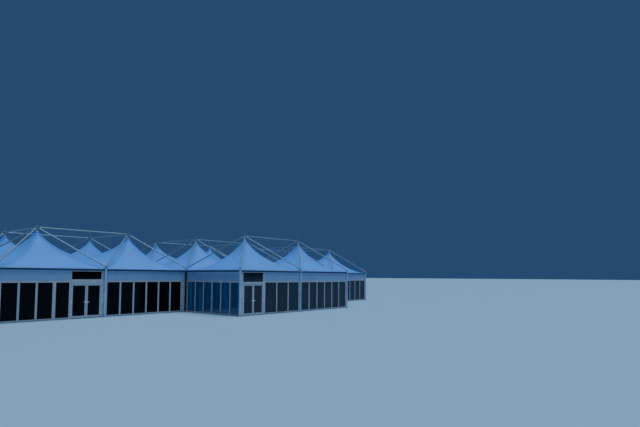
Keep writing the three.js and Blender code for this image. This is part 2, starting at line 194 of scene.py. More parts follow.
class FrameSettings(PropertyGroup):
    """The legs, eaves and outside tubes."""

    tube_radius: FloatProperty(
        name="Tube radius", description="Radius of struts and ring tubes",
        default=0.045, unit="LENGTH")
    leg_half: FloatProperty(
        name="Half leg", description="Half the width of a leg", default=0.05, unit="LENGTH")
    tube_colour: FloatVectorProperty(
        name="Tube colour", description="Colour of the bare aluminium", subtype="COLOR",
        default=(0.4, 0.37, 0.34), min=0, max=1)
    leg_colour: FloatVectorProperty(
        name="Leg colour", description="Colour of the coated legs", subtype="COLOR",
        default=(0.5, 0.6, 0.75), min=0, max=1)
    # Painted shade: the eave beams are coloured dark, as the shadow under the membrane's hem
    eave_shade_colour: FloatVectorProperty(
        name="Eave colour", description="Colour of the eave beams", subtype="COLOR",
        default=(0.028, 0.055, 0.135), min=0, max=1)


class WallSettings(PropertyGroup):
    """The window walls and the fascia over them."""

    sill: FloatProperty(
        name="Sill", description="Height of the glass's lower edge", default=0.1, unit="LENGTH")
    head: FloatProperty(
        name="Head", description="Height of the glass's upper edge", default=2.21, unit="LENGTH")
    frame_colour: FloatVectorProperty(
        name="Frame colour", description="Colour of the coated window frames", subtype="COLOR",
        default=(0.58, 0.45, 0.45), min=0, max=1)
    glass_colour: FloatVectorProperty(
        name="Glass colour", description="Tint of the panes", subtype="COLOR",
        default=(0.005, 0.014, 0.026), min=0, max=1)
    # Painted shade and painted reflection: the next two are copies of the glass, darker for the left
    # wing and bluer for the porch's left side
    glass_painted_dark_colour: FloatVectorProperty(
        name="Dark glass colour", description="Tint of the panes over the dark left wing",
        subtype="COLOR", default=(0.002, 0.003, 0.006), min=0, max=1)
    glass_painted_blue_colour: FloatVectorProperty(
        name="Blue glass colour", description="Tint of the panes in the porch's left side",
        subtype="COLOR", default=(0.034, 0.13, 0.28), min=0, max=1)
    fascia_colour: FloatVectorProperty(
        name="Fascia colour", description="Colour of the panels under the eaves", subtype="COLOR",
        default=(0.38, 0.46, 0.64), min=0, max=1)


class DoorSettings(PropertyGroup):
    """The two double doors."""

    stile: FloatProperty(
        name="Stile", description="Width of a leaf's stiles", default=0.075, unit="LENGTH")
    lever: FloatProperty(
        name="Lever", description="Length of the lever handles", default=0.15, unit="LENGTH")


class StageSettings(PropertyGroup):
    """Floor, light and camera."""

    floor_colour: FloatVectorProperty(
        name="Floor colour", description="Colour of the pale floor", subtype="COLOR",
        default=(0.5, 0.52, 0.56), min=0, max=1)
    sky_colour: FloatVectorProperty(
        name="Sky colour", description="Colour of the soft light all round", subtype="COLOR",
        default=(0.16, 0.39, 0.95), min=0, max=1)
    sky_strength: FloatProperty(
        name="Sky strength", description="Strength of the soft light all round", default=0.17)
    sun_strength: FloatProperty(
        name="Sun strength", description="Strength of the soft key light", default=3.35)


def settings():
    return bpy.context.scene.marquee


class MarqueeSettings(PropertyGroup):
    """All settings of the marquee."""

    roof: PointerProperty(type=RoofSettings)
    frame: PointerProperty(type=FrameSettings)
    walls: PointerProperty(type=WallSettings)
    doors: PointerProperty(type=DoorSettings)
    stage: PointerProperty(type=StageSettings)


# Materials

# Colours that have no setting, darker and paler
ZINC = ((0.28, 0.3, 0.33), (0.46, 0.48, 0.5))
RUBBER = ((0.012, 0.013, 0.015), (0.03, 0.032, 0.035))
CHROME = ((0.84, 0.87, 0.92), (0.93, 0.95, 0.98))
DUST = (0.2, 0.19, 0.17)
SHEEN = (0.6, 0.8, 1.0)

# Heights and widths that the patterns follow
DUST_TOP = 0.4
# Depth under the eaves that is painted paler: painted light
EAVE_LIGHT_DEPTH = 0.25
# Heights over which the membrane is painted darker towards its peaks: painted shade
PEAK_SHADE = (EAVE_TOP + 0.3, EAVE_TOP + 1.3)
DIRT_TOP = EAVE_TOP + 0.55
WELD_EDGE = (0.028, 0.032)
POCKET_EDGE = (0.05, 0.056)

# How much paler the streaks on the glass are, and how much light it lets through
STREAK = 2.2
CLEAR = 0.55


class Finish:
    """A node-based material whose pattern reads object coordinates."""

    def __init__(self, name, roughness, metallic=0.0):
        self.material = bpy.data.materials.new(name)
        self.material.use_nodes = True
        self.tree = self.material.node_tree
        self.shader = self.tree.nodes["Principled BSDF"]
        self.shader.inputs["Metallic"].default_value = metallic
        self.shader.inputs["Roughness"].default_value = roughness
        self.coords = self.tree.nodes.new("ShaderNodeTexCoord").outputs["Object"]
        self.bumped = None

    def link(self, output, target):
        self.tree.links.new(output, target)

    def math(self, operation, a, b=0.0):
        node = self.tree.nodes.new("ShaderNodeMath")
        node.operation = operation
        for socket, value in zip(node.inputs, (a, b)):
            if isinstance(value, (int, float)):
                socket.default_value = value
            else:
                self.link(value, socket)
        return node.outputs[0]

    def noise(self, scale, stretch=(1, 1, 1), detail=4.0):
        mapping = self.tree.nodes.new("ShaderNodeMapping")
        mapping.inputs["Scale"].default_value = stretch
        self.link(self.coords, mapping.inputs["Vector"])
        noise = self.tree.nodes.new("ShaderNodeTexNoise")
        noise.inputs["Scale"].default_value = scale
        noise.inputs["Detail"].default_value = detail
        self.link(mapping.outputs[0], noise.inputs["Vector"])
        return noise.outputs["Fac"]

    def spread(self, value, low, high, to_low=0.0, to_high=1.0):
        node = self.tree.nodes.new("ShaderNodeMapRange")
        for socket, number in zip(list(node.inputs)[1:5], (low, high, to_low, to_high)):
            socket.default_value = number
        self.link(value, node.inputs["Value"])
        return node.outputs["Result"]

    def mix(self, factor, a, b):
        node = self.tree.nodes.new("ShaderNodeMix")
        node.data_type = "RGBA"
        self.link(factor, node.inputs["Factor"])
        for socket, value in ((node.inputs[6], a), (node.inputs[7], b)):
            if isinstance(value, bpy.types.NodeSocket):
                self.link(value, socket)
            else:
                socket.default_value = (*value, 1)
        return node.outputs[2]

    def axis(self, name):
        node = self.tree.nodes.new("ShaderNodeSeparateXYZ")
        self.link(self.coords, node.inputs[0])
        return node.outputs[name]

    def colour(self, output):
        self.link(output, self.shader.inputs["Base Color"])

    def roughness(self, output):
        self.link(output, self.shader.inputs["Roughness"])

    def bump(self, height, strength, distance):
        node = self.tree.nodes.new("ShaderNodeBump")
        node.inputs["Strength"].default_value = strength
        node.inputs["Distance"].default_value = distance
        self.link(height, node.inputs["Height"])
        if self.bumped is not None:
            self.link(self.bumped, node.inputs["Normal"])
        self.bumped = node.outputs["Normal"]
        self.link(self.bumped, self.shader.inputs["Normal"])


def shade(colour, factor):
    return tuple(min(1.0, channel * factor) for channel in colour)


def coated_metal(name, colour, roughness=0.42, metallic=0.0, mottle=0.07, grime=0.35, eave_light=0.0):
    """Powder-coated metal with an orange-peel skin, faint patches and dust near the ground.

    With an eave light it is painted paler under the eaves and darker below: painted light against the
    shade that the eaves cast.
    """
    finish = Finish(name, roughness, metallic)
    patches = finish.spread(finish.noise(1.7), 0.35, 0.65)
    base = finish.mix(patches, shade(colour, 1 - mottle - eave_light), shade(colour, 1 + mottle - eave_light))
    # Painted light: a paler copy of the colour, blended in under the eaves
    if eave_light:
        paler_tone = finish.mix(patches, shade(colour, 1 - mottle + eave_light),
                           shade(colour, 1 + mottle + eave_light))
        base = finish.mix(finish.spread(finish.axis("Z"), EAVE_LOW - EAVE_LIGHT_DEPTH, EAVE_LOW), base, paler_tone)
    dust = finish.math("MULTIPLY", finish.spread(finish.axis("Z"), 0.0, DUST_TOP, grime, 0.0),
                       finish.spread(finish.noise(6.0, (1, 1, 0.3)), 0.3, 0.7))
    finish.colour(finish.mix(dust, base, DUST))
    finish.roughness(finish.spread(finish.noise(9.0), 0.3, 0.7, roughness - 0.07, roughness + 0.09))
    finish.bump(finish.noise(900.0, detail=1.0), strength=0.08, distance=0.0004)
    return finish.material


def bare_aluminium(name, colour, roughness=0.34):
    """Mill aluminium: drawn lines, dull patches and a touch of weathering."""
    finish = Finish(name, roughness, metallic=0.35)
    patches = finish.spread(finish.noise(3.0, (1, 1, 2)), 0.35, 0.7)
    finish.colour(finish.mix(patches, shade(colour, 0.86), shade(colour, 1.08)))
    dull = finish.spread(finish.noise(22.0), 0.3, 0.7, roughness - 0.08, roughness + 0.12)
    finish.roughness(dull)
    finish.bump(finish.noise(260.0, (1, 1, 0.06), detail=2.0), strength=0.12, distance=0.0005)
    return finish.material


def galvanised_steel(name):
    """Galvanised steel with its spangle."""
    finish = Finish(name, roughness=0.5, metallic=0.7)
    crystals = finish.tree.nodes.new("ShaderNodeTexVoronoi")
    crystals.inputs["Scale"].default_value = 70.0
    finish.link(finish.coords, crystals.inputs["Vector"])
    spangle = finish.spread(crystals.outputs["Distance"], 0.0, 0.7)
    finish.colour(finish.mix(spangle, *ZINC))
    finish.bump(finish.noise(30.0), strength=0.15, distance=0.001)
    return finish.material


def coated_cloth(name, colour, peak_shade_colour):
    """Tensioned coated cloth: weave, welds, cable pockets in the valleys, dirt at the eaves, and painted
    shade towards the peaks.
    """
    finish = Finish(name, roughness=0.5)

    def off_middle(axis, first):
        """Distance from the module's middle line, in metres."""
        modules = finish.math("DIVIDE", finish.math("SUBTRACT", finish.axis(axis), first), MODULE)
        share = finish.math("SUBTRACT", finish.math("FRACT", modules), 0.5)
        return finish.math("MULTIPLY", finish.math("ABSOLUTE", share), MODULE)

    off_x, off_y = off_middle("X", HALL_LEFT), off_middle("Y", FRONT)
    hip = finish.math("ABSOLUTE", finish.math("SUBTRACT", off_x, off_y))
    ridge = finish.math("MINIMUM", off_x, off_y)
    welds = finish.spread(finish.math("MINIMUM", hip, ridge), *WELD_EDGE, 1.0, 0.0)
    valley = finish.math("SUBTRACT", MODULE / 2, finish.math("MAXIMUM", off_x, off_y))
    pockets = finish.spread(valley, *POCKET_EDGE, 1.0, 0.0)
    seam = finish.math("MAXIMUM", welds, pockets)
    clouds = finish.spread(finish.noise(0.6), 0.3, 0.7)
    # Painted shade: darker towards the peaks
    height = finish.spread(finish.axis("Z"), *PEAK_SHADE)
    dull = finish.mix(height, shade(colour, 0.95), shade(peak_shade_colour, 0.95))
    paler_tone = finish.mix(height, shade(colour, 1.04), shade(peak_shade_colour, 1.04))
    base = finish.mix(clouds, dull, paler_tone)
    welded = finish.mix(seam, base, shade(colour, 0.92))
    runs = finish.spread(finish.noise(2.5, (1, 1, 0.15)), 0.45, 0.75)
    low = finish.spread(finish.axis("Z"), EAVE_TOP, DIRT_TOP, 0.4, 0.0)
    finish.colour(finish.mix(finish.math("MULTIPLY", runs, low), welded, shade(colour, 0.6)))
    finish.roughness(finish.spread(finish.noise(5.0), 0.3, 0.7, 0.42, 0.56))
    weave = finish.math("ADD", finish.noise(450.0, (1, 0.1, 1), detail=0.0),
                        finish.noise(450.0, (0.1, 1, 1), detail=0.0))
    finish.bump(weave, strength=0.05, distance=0.0005)
    finish.bump(seam, strength=0.4, distance=0.002)
    finish.shader.inputs["Specular IOR Level"].default_value = 0.2
    finish.shader.inputs["Sheen Weight"].default_value = 0.5
    finish.shader.inputs["Sheen Roughness"].default_value = 0.3
    finish.shader.inputs["Sheen Tint"].default_value = (*SHEEN, 1)
    return finish.material


def tinted_glass(name, colour, ior=1.5):
    """Dark panes with the faint upright streaks of rain and wiping."""
    finish = Finish(name, roughness=0.06)
    streaks = finish.spread(finish.noise(7.0, (1, 1, 0.04), detail=3.0), 0.42, 0.68)
    finish.colour(finish.mix(streaks, colour, shade(colour, STREAK)))
    finish.roughness(finish.spread(finish.noise(3.0), 0.3, 0.7, 0.04, 0.1))
    finish.shader.inputs["Transmission Weight"].default_value = CLEAR
    finish.shader.inputs["IOR"].default_value = ior
    return finish.material


def moulded_rubber(name):
    """Black gaskets and feet."""
    finish = Finish(name, roughness=0.7)
    finish.colour(finish.mix(finish.noise(20.0), *RUBBER))
    finish.bump(finish.noise(400.0), strength=0.2, distance=0.0004)
    return finish.material


def satin_chrome(name):
    """Door furniture."""
    finish = Finish(name, roughness=0.35, metallic=0.2)
    finish.colour(finish.mix(finish.noise(14.0), *CHROME))
    finish.roughness(finish.spread(finish.noise(60.0), 0.3, 0.7, 0.28, 0.42))
    return finish.material


def finish(name):
    """The material of that name, made when it is first asked for."""
    if name in bpy.data.materials:
        return bpy.data.materials[name]
    roof, tubes, walls = settings().roof, settings().frame, settings().walls
    makers = {
        "coated_cloth": lambda: coated_cloth(name, roof.colour, roof.peak_shade_colour),
        "bare_aluminium": lambda: bare_aluminium(name, tubes.tube_colour),
        "coated_legs": lambda: coated_metal(name, tubes.leg_colour, roughness=0.4, metallic=0.1),
        "eaves_painted_dark": lambda: coated_metal(name, tubes.eave_shade_colour, roughness=0.45),
        "coated_frames": lambda: coated_metal(name, walls.frame_colour),
        # The fascias are painted lighter under the eaves: painted light
        "coated_fascias": lambda: coated_metal(
            name, walls.fascia_colour, roughness=0.5, mottle=0.05, eave_light=0.18),
        "tinted_glass": lambda: tinted_glass(name, walls.glass_colour),
        "glass_painted_dark": lambda: tinted_glass(name, walls.glass_painted_dark_colour, ior=1.2),
        "glass_painted_blue": lambda: tinted_glass(name, walls.glass_painted_blue_colour),
        "moulded_rubber": lambda: moulded_rubber(name),
        "galvanised_steel": lambda: galvanised_steel(name),
        "satin_chrome": lambda: satin_chrome(name),
    }
    return makers[name]()


# Shapes


class Shape:
    """Collects the solids of one piece and makes the piece of them."""

    def __init__(self, axes=None):
        self.axes = axes or Matrix.Identity(4)
        self.bm = bmesh.new()

    def box(self, low, high):
        size = [b - a for a, b in zip(low, high)]
        middle = [(a + b) / 2 for a, b in zip(low, high)]
        bmesh.ops.create_cube(
            self.bm, size=1.0, matrix=Matrix.Translation(middle) @ Matrix.Diagonal((*size, 1)))

    def round_edges(self, width, segments=1):
        """Bevels every edge made so far."""
        bmesh.ops.bevel(self.bm, geom=self.bm.edges[:], offset=width, segments=segments,
                        affect="EDGES", profile=0.5, material=-1)

    def rod(self, start, end, radius, sides=16, far_radius=None):
        start, end = Vector(start), Vector(end)
        turn = Vector((0, 0, 1)).rotation_difference(end - start).to_matrix().to_4x4()
        bmesh.ops.create_cone(
            self.bm, cap_ends=True, segments=sides, radius1=radius,
            radius2=radius if far_radius is None else far_radius,
            depth=(end - start).length, matrix=Matrix.Translation((start + end) / 2) @ turn)

    def plate(self, start, end, width, thick):
        """A flat bar from start to end, its width lying level."""
        start, end = Vector(start), Vector(end)
        turn = (end - start).to_track_quat("Z", "Y").to_matrix().to_4x4()
        size = Matrix.Diagonal((width, thick, (end - start).length, 1))
        bmesh.ops.create_cube(
            self.bm, size=1.0, matrix=Matrix.Translation((start + end) / 2) @ turn @ size)

    def ball(self, centre, radius):
        bmesh.ops.create_uvsphere(self.bm, u_segments=12, v_segments=8, radius=radius,
                                  matrix=Matrix.Translation(centre))

    def turned(self, profile, place, sides=20):
        """A turned solid about the upright through place. The profile starts and ends on it."""
        turning = bmesh.new()
        points = [turning.verts.new((radius, 0, height)) for radius, height in profile]
        for a, b in zip(points, points[1:]):
            turning.edges.new((a, b))
        bmesh.ops.spin(turning, geom=turning.verts[:] + turning.edges[:], cent=(0, 0, 0),
                       axis=(0, 0, 1), angle=math.tau, steps=sides, use_merge=True)
        bmesh.ops.remove_doubles(turning, verts=turning.verts[:], dist=1e-5)
        bmesh.ops.translate(turning, verts=turning.verts[:], vec=place)
        self.take(turning)

    def extruded(self, outline, start, end, upright=(0, 0, 1)):
        """A bar of constant section from start to end. The outline's second axis is upright."""
        start, end, upright = Vector(start), Vector(end), Vector(upright)
        along = (end - start).normalized()
        side = upright.cross(along).normalized()
        bar = bmesh.new()
        section = bar.faces.new([bar.verts.new(start + side * a + upright * b) for a, b in outline])
        grown = bmesh.ops.extrude_face_region(bar, geom=[section])
        moved = [item for item in grown["geom"] if isinstance(item, bmesh.types.BMVert)]
        bmesh.ops.translate(bar, verts=moved, vec=end - start)
        self.take(bar)

    def take(self, other):
        """Moves another bmesh's solids into this one."""
        loose = bpy.data.meshes.new("loose")
        other.to_mesh(loose)
        other.free()
        self.bm.from_mesh(loose)
        bpy.data.meshes.remove(loose)

    def make(self, name, material, body=BODY, stands_for=(), sharp=35, mend=True):
        """The finished piece, riding on its body. Edges over sharp degrees stay crisp."""
        bmesh.ops.transform(self.bm, matrix=self.axes, verts=self.bm.verts[:])
        if mend:
            bmesh.ops.recalc_face_normals(self.bm, faces=self.bm.faces[:])
        mesh = bpy.data.meshes.new(name)
        self.bm.to_mesh(mesh)
        self.bm.free()
        mesh.shade_smooth()
        mesh.set_sharp_from_angle(angle=math.radians(sharp))
        mesh.materials.append(finish(material))
        piece = bpy.data.objects.new(name, mesh)
        bpy.context.scene.collection.objects.link(piece)
        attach(piece, body)
        if stands_for:
            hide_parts(*stands_for)
        return piece


def grooved_square(half, groove_half=0.008, groove_deep=0.01, chamfer=0.006):
    """The section of a square extrusion with a track down the middle of each face."""
    quarter = [
        (-half + chamfer, -half),
        (-groove_half, -half),
        (-groove_half, -half + groove_deep),
        (groove_half, -half + groove_deep),
        (groove_half, -half),
        (half - chamfer, -half),
    ]
    outline = []
    for _ in range(4):
        outline += quarter
        quarter = [(-b, a) for a, b in quarter]
    return outline


# Legs and eaves

# Halves and BOLT_AT are measured from the leg's middle, tops are heights
PLATE_TOP = 0.012
PLATE_BEVEL = 0.002
FOOT_HALF, FOOT_TOP = 0.062, 0.06
LEG_LOW = 0.02
BOLT_AT = 0.09
BOLT_RADIUS, BOLT_TOP = 0.012, 0.03
WASHER_RADIUS, WASHER_TOP = 0.02, 0.016
# Radius and height of the turned casting that takes the struts
SHOE = [(0, 3.051), (0.075, 3.051), (0.075, 3.066), (0.048, 3.076), (0.044, 3.13),
        (0.062, 3.155), (0.062, 3.23), (0.034, 3.26), (0, 3.26)]


def build_legs():
    """Grooved legs on base plates, with a casting for the struts on each."""
    half = settings().frame.leg_half
    for unit in UNITS:
        posts, plates, shoes = Shape(), Shape(), Shape()
        for place in legs_of(unit):
            if owner_of(place) == unit.name:
                x, y, _ = place
                plates.box((x - BASE_HALF, y - BASE_HALF, 0),
                           (x + BASE_HALF, y + BASE_HALF, PLATE_TOP))
                plates.box((x - FOOT_HALF, y - FOOT_HALF, PLATE_TOP),
                           (x + FOOT_HALF, y + FOOT_HALF, FOOT_TOP))
                posts.extruded(grooved_square(half), place + up(LEG_LOW), place + up(EAVE_LOW),
                               (0, 1, 0))
            if is_shared(place) and unit.name == "middle" or not is_shared(place):
                shoes.turned(SHOE, place)
        plates.round_edges(PLATE_BEVEL)
        for place in legs_of(unit):
            if owner_of(place) != unit.name:
                continue
            for side_x in (-1, 1):
                for side_y in (-1, 1):
                    bolt = place + Vector((side_x * BOLT_AT, side_y * BOLT_AT, 0))
                    washer_top = bolt + up(WASHER_TOP)
                    plates.rod(bolt + up(PLATE_TOP), washer_top, WASHER_RADIUS, sides=12)
                    plates.rod(washer_top, bolt + up(BOLT_TOP), BOLT_RADIUS, sides=6)
        posts.make("legs_" + unit.name, "coated_legs", stands_for=["leg_frame_" + unit.name])
        plates.make("base_plates_" + unit.name, "galvanised_steel")
        shoes.make("strut_shoes_" + unit.name, "bare_aluminium")


# Out, in, above and below are distances from the beam's faces, at is from its middle line
CASTING_HALF, CASTING_BEVEL = 0.056, 0.004
CASTING_BELOW, CASTING_ABOVE = 0.012, 0.004
GUTTER_ABOVE = 0.004
GUTTER_WIDTH, GUTTER_THICK = 0.056, 0.003
GUTTER_WALL_AT, GUTTER_WALL_HIGH = 0.026, 0.024
WELT_OUT, WELT_THICK, WELT_HIGH = 0.005, 0.01, 0.03
LIP_IN, LIP_THICK, LIP_HIGH = 0.002, 0.004, 0.026
LIP_MIDDLE = EAVE_LOW - 0.011


def eave_lines(unit):
    """The eave lines that a unit's leg frame holds, as pairs of ends one module apart."""
    lines = []
    right, rear = unit.x + unit.across * MODULE, unit.y + unit.deep * MODULE
    for k in range(unit.across):
        x0, x1 = unit.x + k * MODULE, unit.x + (k + 1) * MODULE
        lines.append((Vector((x0, unit.y, 0)), Vector((x1, unit.y, 0))))
        if unit.name != "porch":
            lines.append((Vector((x0, rear, 0)), Vector((x1, rear, 0))))
    for k in range(unit.deep):
        y0, y1 = unit.y + k * MODULE, unit.y + (k + 1) * MODULE
        if unit.name != "east":
            lines.append((Vector((unit.x, y0, 0)), Vector((unit.x, y1, 0))))
        if unit.name != "west":
            lines.append((Vector((right, y0, 0)), Vector((right, y1, 0))))
    return lines


def build_eaves():
    """Grooved eave beams between castings, with welt rails and drip lips outside or gutters between."""
    half = settings().frame.leg_half
    middle = (EAVE_LOW + EAVE_TOP) / 2
    plan_middle = Vector((0, (FRONT + BACK) / 2, 0))
    for unit in UNITS:
        beams, castings, rails = Shape(), Shape(), Shape()
        for place in legs_of(unit):
            if owner_of(place) == unit.name:
                x, y, _ = place
                castings.box((x - CASTING_HALF, y - CASTING_HALF, EAVE_LOW - CASTING_BELOW),
                             (x + CASTING_HALF, y + CASTING_HALF, EAVE_TOP + CASTING_ABOVE))
        castings.round_edges(CASTING_BEVEL, segments=2)
        for start, end in eave_lines(unit):
            along = (end - start).normalized()
            a = start + along * CASTING_HALF + up(middle)
            b = end - along * CASTING_HALF + up(middle)
            beams.extruded(grooved_square(half), a, b)
            lift = up(EAVE_TOP + GUTTER_ABOVE - middle)
            across = Vector((-along.y, along.x, 0))
            if along.x:
                inner = start.y == HALL_FRONT and abs(start.x + end.x) < 2 * MODULE
            else:
                inner = abs(start.x) < -HALL_LEFT and start.y >= HALL_FRONT
            if inner:
                rails.plate(a + lift, b + lift, GUTTER_WIDTH, GUTTER_THICK)
                for side in (-1, 1):
                    wall = across * side * GUTTER_WALL_AT
                    rails.plate(a + lift + wall + up(GUTTER_WALL_HIGH / 2),
                                b + lift + wall + up(GUTTER_WALL_HIGH / 2),
                                GUTTER_THICK, GUTTER_WALL_HIGH)
                continue
            outward = 1 if across.dot((start + end) / 2 - plan_middle) > 0 else -1
            if unit.name == "porch" and not along.x:
                outward = 1 if across.x * start.x > 0 else -1
            rail = across * outward * (half + WELT_OUT) + up(EAVE_TOP - middle)
            rails.plate(a + rail, b + rail, WELT_THICK, WELT_HIGH)
            lip = across * outward * (half - LIP_IN) + up(LIP_MIDDLE - middle)
            beams.plate(a + lip, b + lip, LIP_THICK, LIP_HIGH)
        # The beams and their drip lips are coloured dark: painted shade under the membrane's hem
        beams.make("eave_beams_" + unit.name, "eaves_painted_dark")
        castings.make("eave_castings_" + unit.name, "coated_legs")
        rails.make("welt_rails_" + unit.name, "coated_frames")


# Outside frame

# Radius and height of the turned castings on each apex
HUB = [(0, 5.58), (0.07, 5.58), (0.11, 5.596), (0.11, 5.612), (0.066, 5.622), (0.066, 5.672),
       (0.11, 5.682), (0.11, 5.698), (0.06, 5.714), (0.03, 5.72), (0, 5.72)]
SPIKE = [(0, 5.71), (0.026, 5.71), (0.026, 5.74), (0.016, 5.75), (0.013, 5.9), (0.024, 5.912),
         (0.024, 5.93), (0.012, 5.945), (0, SPIKE_TOP)]
ROD = [(0, 5.352), (0.12, 5.352), (0.12, 5.364), (0.07, 5.39), (0.036, 5.44), (0.036, 5.46),
       (0.02, 5.466), (0.02, 5.54), (0.034, 5.546), (0.034, 5.59), (0, 5.59)]


# Gaps along a tube, from the apex or the shoe to its ends. The taper's root and tip are shares of
# the tube's radius, and PIN_AT is a share of the tongue.
HUB_GAP, SHOE_GAP = 0.175, 0.15
TAPER, TAPER_ROOT, TAPER_TIP = 0.05, 1.06, 0.5
TONGUE, TONGUE_ROOT = 0.07, 0.02
TONGUE_WIDTH, TONGUE_THICK = 0.06, 0.02
PIN_AT, PIN_HALF, PIN_RADIUS = 0.6, 0.018, 0.011


def put_tube(tubes, ends, start, end, start_gap, end_gap):
    """One tube with tapered ends, tongues and bolts."""
    radius = settings().frame.tube_radius
    along = (end - start).normalized()
    level = along.cross(Vector((0, 0, 1))).normalized()
    a, b = start + along * start_gap, end - along * end_gap
    tubes.rod(a, b, radius)
    for edge, outward in ((a, -along), (b, along)):
        tip = edge + outward * TAPER
        ends.rod(edge, tip, radius * TAPER_ROOT, far_radius=radius * TAPER_TIP)
        ends.plate(tip - outward * TONGUE_ROOT, tip + outward * TONGUE, TONGUE_WIDTH, TONGUE_THICK)
        bolt = tip + outward * TONGUE * PIN_AT
        rise = level.cross(along)
        ends.rod(bolt - rise * PIN_HALF, bolt + rise * PIN_HALF, PIN_RADIUS, sides=6)


def build_outside_frame():
    """Struts, ring tubes, hubs, spikes and the rods that hold up the peaks."""
    for unit in UNITS:
        tubes, ends, hubs, rods = Shape(), Shape(), Shape(), Shape()
        tops = [place + up(APEX) for place in apexes(unit)]
        for top in tops:
            ground = Vector((top.x, top.y, 0))
            hubs.turned(HUB, ground, sides=24)
            hubs.turned(SPIKE, ground, sides=12)
            rods.turned(ROD, ground)
            for leg in legs_of(unit):
                if max(abs(leg.x - top.x), abs(leg.y - top.y)) < MODULE:
                    put_tube(tubes, ends, top, leg + up(STRUT_FOOT), HUB_GAP, SHOE_GAP)
        for k, top in enumerate(tops):
            for other in tops[k + 1:]:
                if (other - top).length < NEXT_APEX:
                    put_tube(tubes, ends, top, other, HUB_GAP, HUB_GAP)
        tubes.make("tubes_" + unit.name, "bare_aluminium", stands_for=["roof_frame_" + unit.name])
        ends.make("tube_ends_" + unit.name, "bare_aluminium")
        hubs.make("hubs_" + unit.name, "bare_aluminium")
        rods.make("peak_rods_" + unit.name, "coated_legs")


# Membranes

FILM_STEP = 0.06
FILM_SWEEPS = 900
OVER_RELAX = 1.96
TIP_REACH = 0.6
TIP_RADIUS = 0.11
NOTCH_HALF = 0.09
HEM_OUT = 0.05
GUTTER_HALF = 0.03
HEM_HEIGHT = 3.0653
# Grid lines by their distance from a peak: closer ones near it, even ones down the flank
PEAK_LINES = [0.0, 0.035, 0.07, 0.11, 0.16, 0.22, 0.29, 0.37, 0.46, 0.56, 0.67]
FLANK_LINES, FLANK_STEP = 19, 0.1145


class Film:
    """A taut film over one unit, held at its eaves, peaks and valleys, as in the CAD part."""

    def __init__(self, unit):
        roof = settings().roof
        self.unit, self.peak, self.fullness = unit, roof.peak_height, roof.fullness
        self.centres = [(p.x - unit.x, p.y - unit.y) for p in apexes(unit)]
        columns = round(unit.across * MODULE / FILM_STEP)
        rows = round(unit.deep * MODULE / FILM_STEP)
        x, y = np.meshgrid(np.arange(columns + 1) * FILM_STEP, np.arange(rows + 1) * FILM_STEP,
                           indexing="ij")
        away = np.min([np.hypot(x - a, y - b) for a, b in self.centres], axis=0)
        held = away <= roof.peak_radius
        self.height = np.where(held, self.peak, HEM_HEIGHT)
        self.weight = np.maximum(away, FILM_STEP) ** -self.fullness
        self.relax(held)
        pitch = round(MODULE / FILM_STEP)
        valleys = np.zeros_like(held)
        valleys[pitch:-1:pitch, 1:-1] = True
        valleys[1:-1, pitch:-1:pitch] = True
        drawn = HEM_HEIGHT + roof.valley * (self.height - HEM_HEIGHT)
        self.height = np.where(valleys, drawn, self.height)
        self.relax(held | valleys)

    def relax(self, held):
        """Lets every point that isn't held settle between its neighbours."""
        z, weight = self.height, self.weight
        across, along = weight[1:] + weight[:-1], weight[:, 1:] + weight[:, :-1]
        stiffness = across[1:, 1:-1] + across[:-1, 1:-1] + along[1:-1, 1:] + along[1:-1, :-1]
        parity = np.add.outer(np.arange(z.shape[0]), np.arange(z.shape[1])) % 2
        free = [((parity == k) & ~held)[1:-1, 1:-1] for k in (0, 1)]
        inner = z[1:-1, 1:-1]
        for _ in range(FILM_SWEEPS):
            for turn in free:
                pull = (across[1:, 1:-1] * z[2:, 1:-1] + across[:-1, 1:-1] * z[:-2, 1:-1]
                        + along[1:-1, 1:] * z[1:-1, 2:] + along[1:-1, :-1] * z[1:-1, :-2])
                inner += np.where(turn, OVER_RELAX * (pull / stiffness - inner), 0.0)

    def sampled(self, x, y):
        """Height at points given from the unit's corner."""
        columns, rows = self.height.shape
        u = np.clip(x / FILM_STEP, 0, columns - 1.001)
        v = np.clip(y / FILM_STEP, 0, rows - 1.001)
        i, j = u.astype(int), v.astype(int)
        a, b = u - i, v - j
        z = self.height
        return ((z[i, j] * (1 - a) + z[i + 1, j] * a) * (1 - b)
                + (z[i, j + 1] * (1 - a) + z[i + 1, j + 1] * a) * b)

    def at(self, x, y):
        """The same, with each tip drawn as a smooth cone that meets the film at TIP_REACH."""
        z = self.sampled(x, y)
        power = self.fullness
        for a, b in self.centres:
            away = np.maximum(np.hypot(x - a, y - b), 1e-6)
            ring = self.sampled(a + (x - a) / away * TIP_REACH, b + (y - b) / away * TIP_REACH)
            share = (away**power - TIP_RADIUS**power) / (TIP_REACH**power - TIP_RADIUS**power)
            tip = self.peak + (ring - self.peak) * np.clip(share, 0, 1)
            z = np.where(away < TIP_REACH, tip, z)
        return z


def cloth_lines(modules, start, end):
    """Grid lines across a unit, closer together near the peaks."""
    flank = [PEAK_LINES[-1] + FLANK_STEP * k for k in range(1, FLANK_LINES + 1)]
    from_peak = [*PEAK_LINES, *flank, MODULE / 2 - NOTCH_HALF]
    lines = {start, end}
    for k in range(modules):
        middle = (k + 0.5) * MODULE
        lines.update(round(middle + side * r, 4) for r in from_peak for side in (-1, 1))
        lines.update((round(k * MODULE, 4), round((k + 1) * MODULE, 4)))
    return [line for line in sorted(lines) if start <= line <= end]


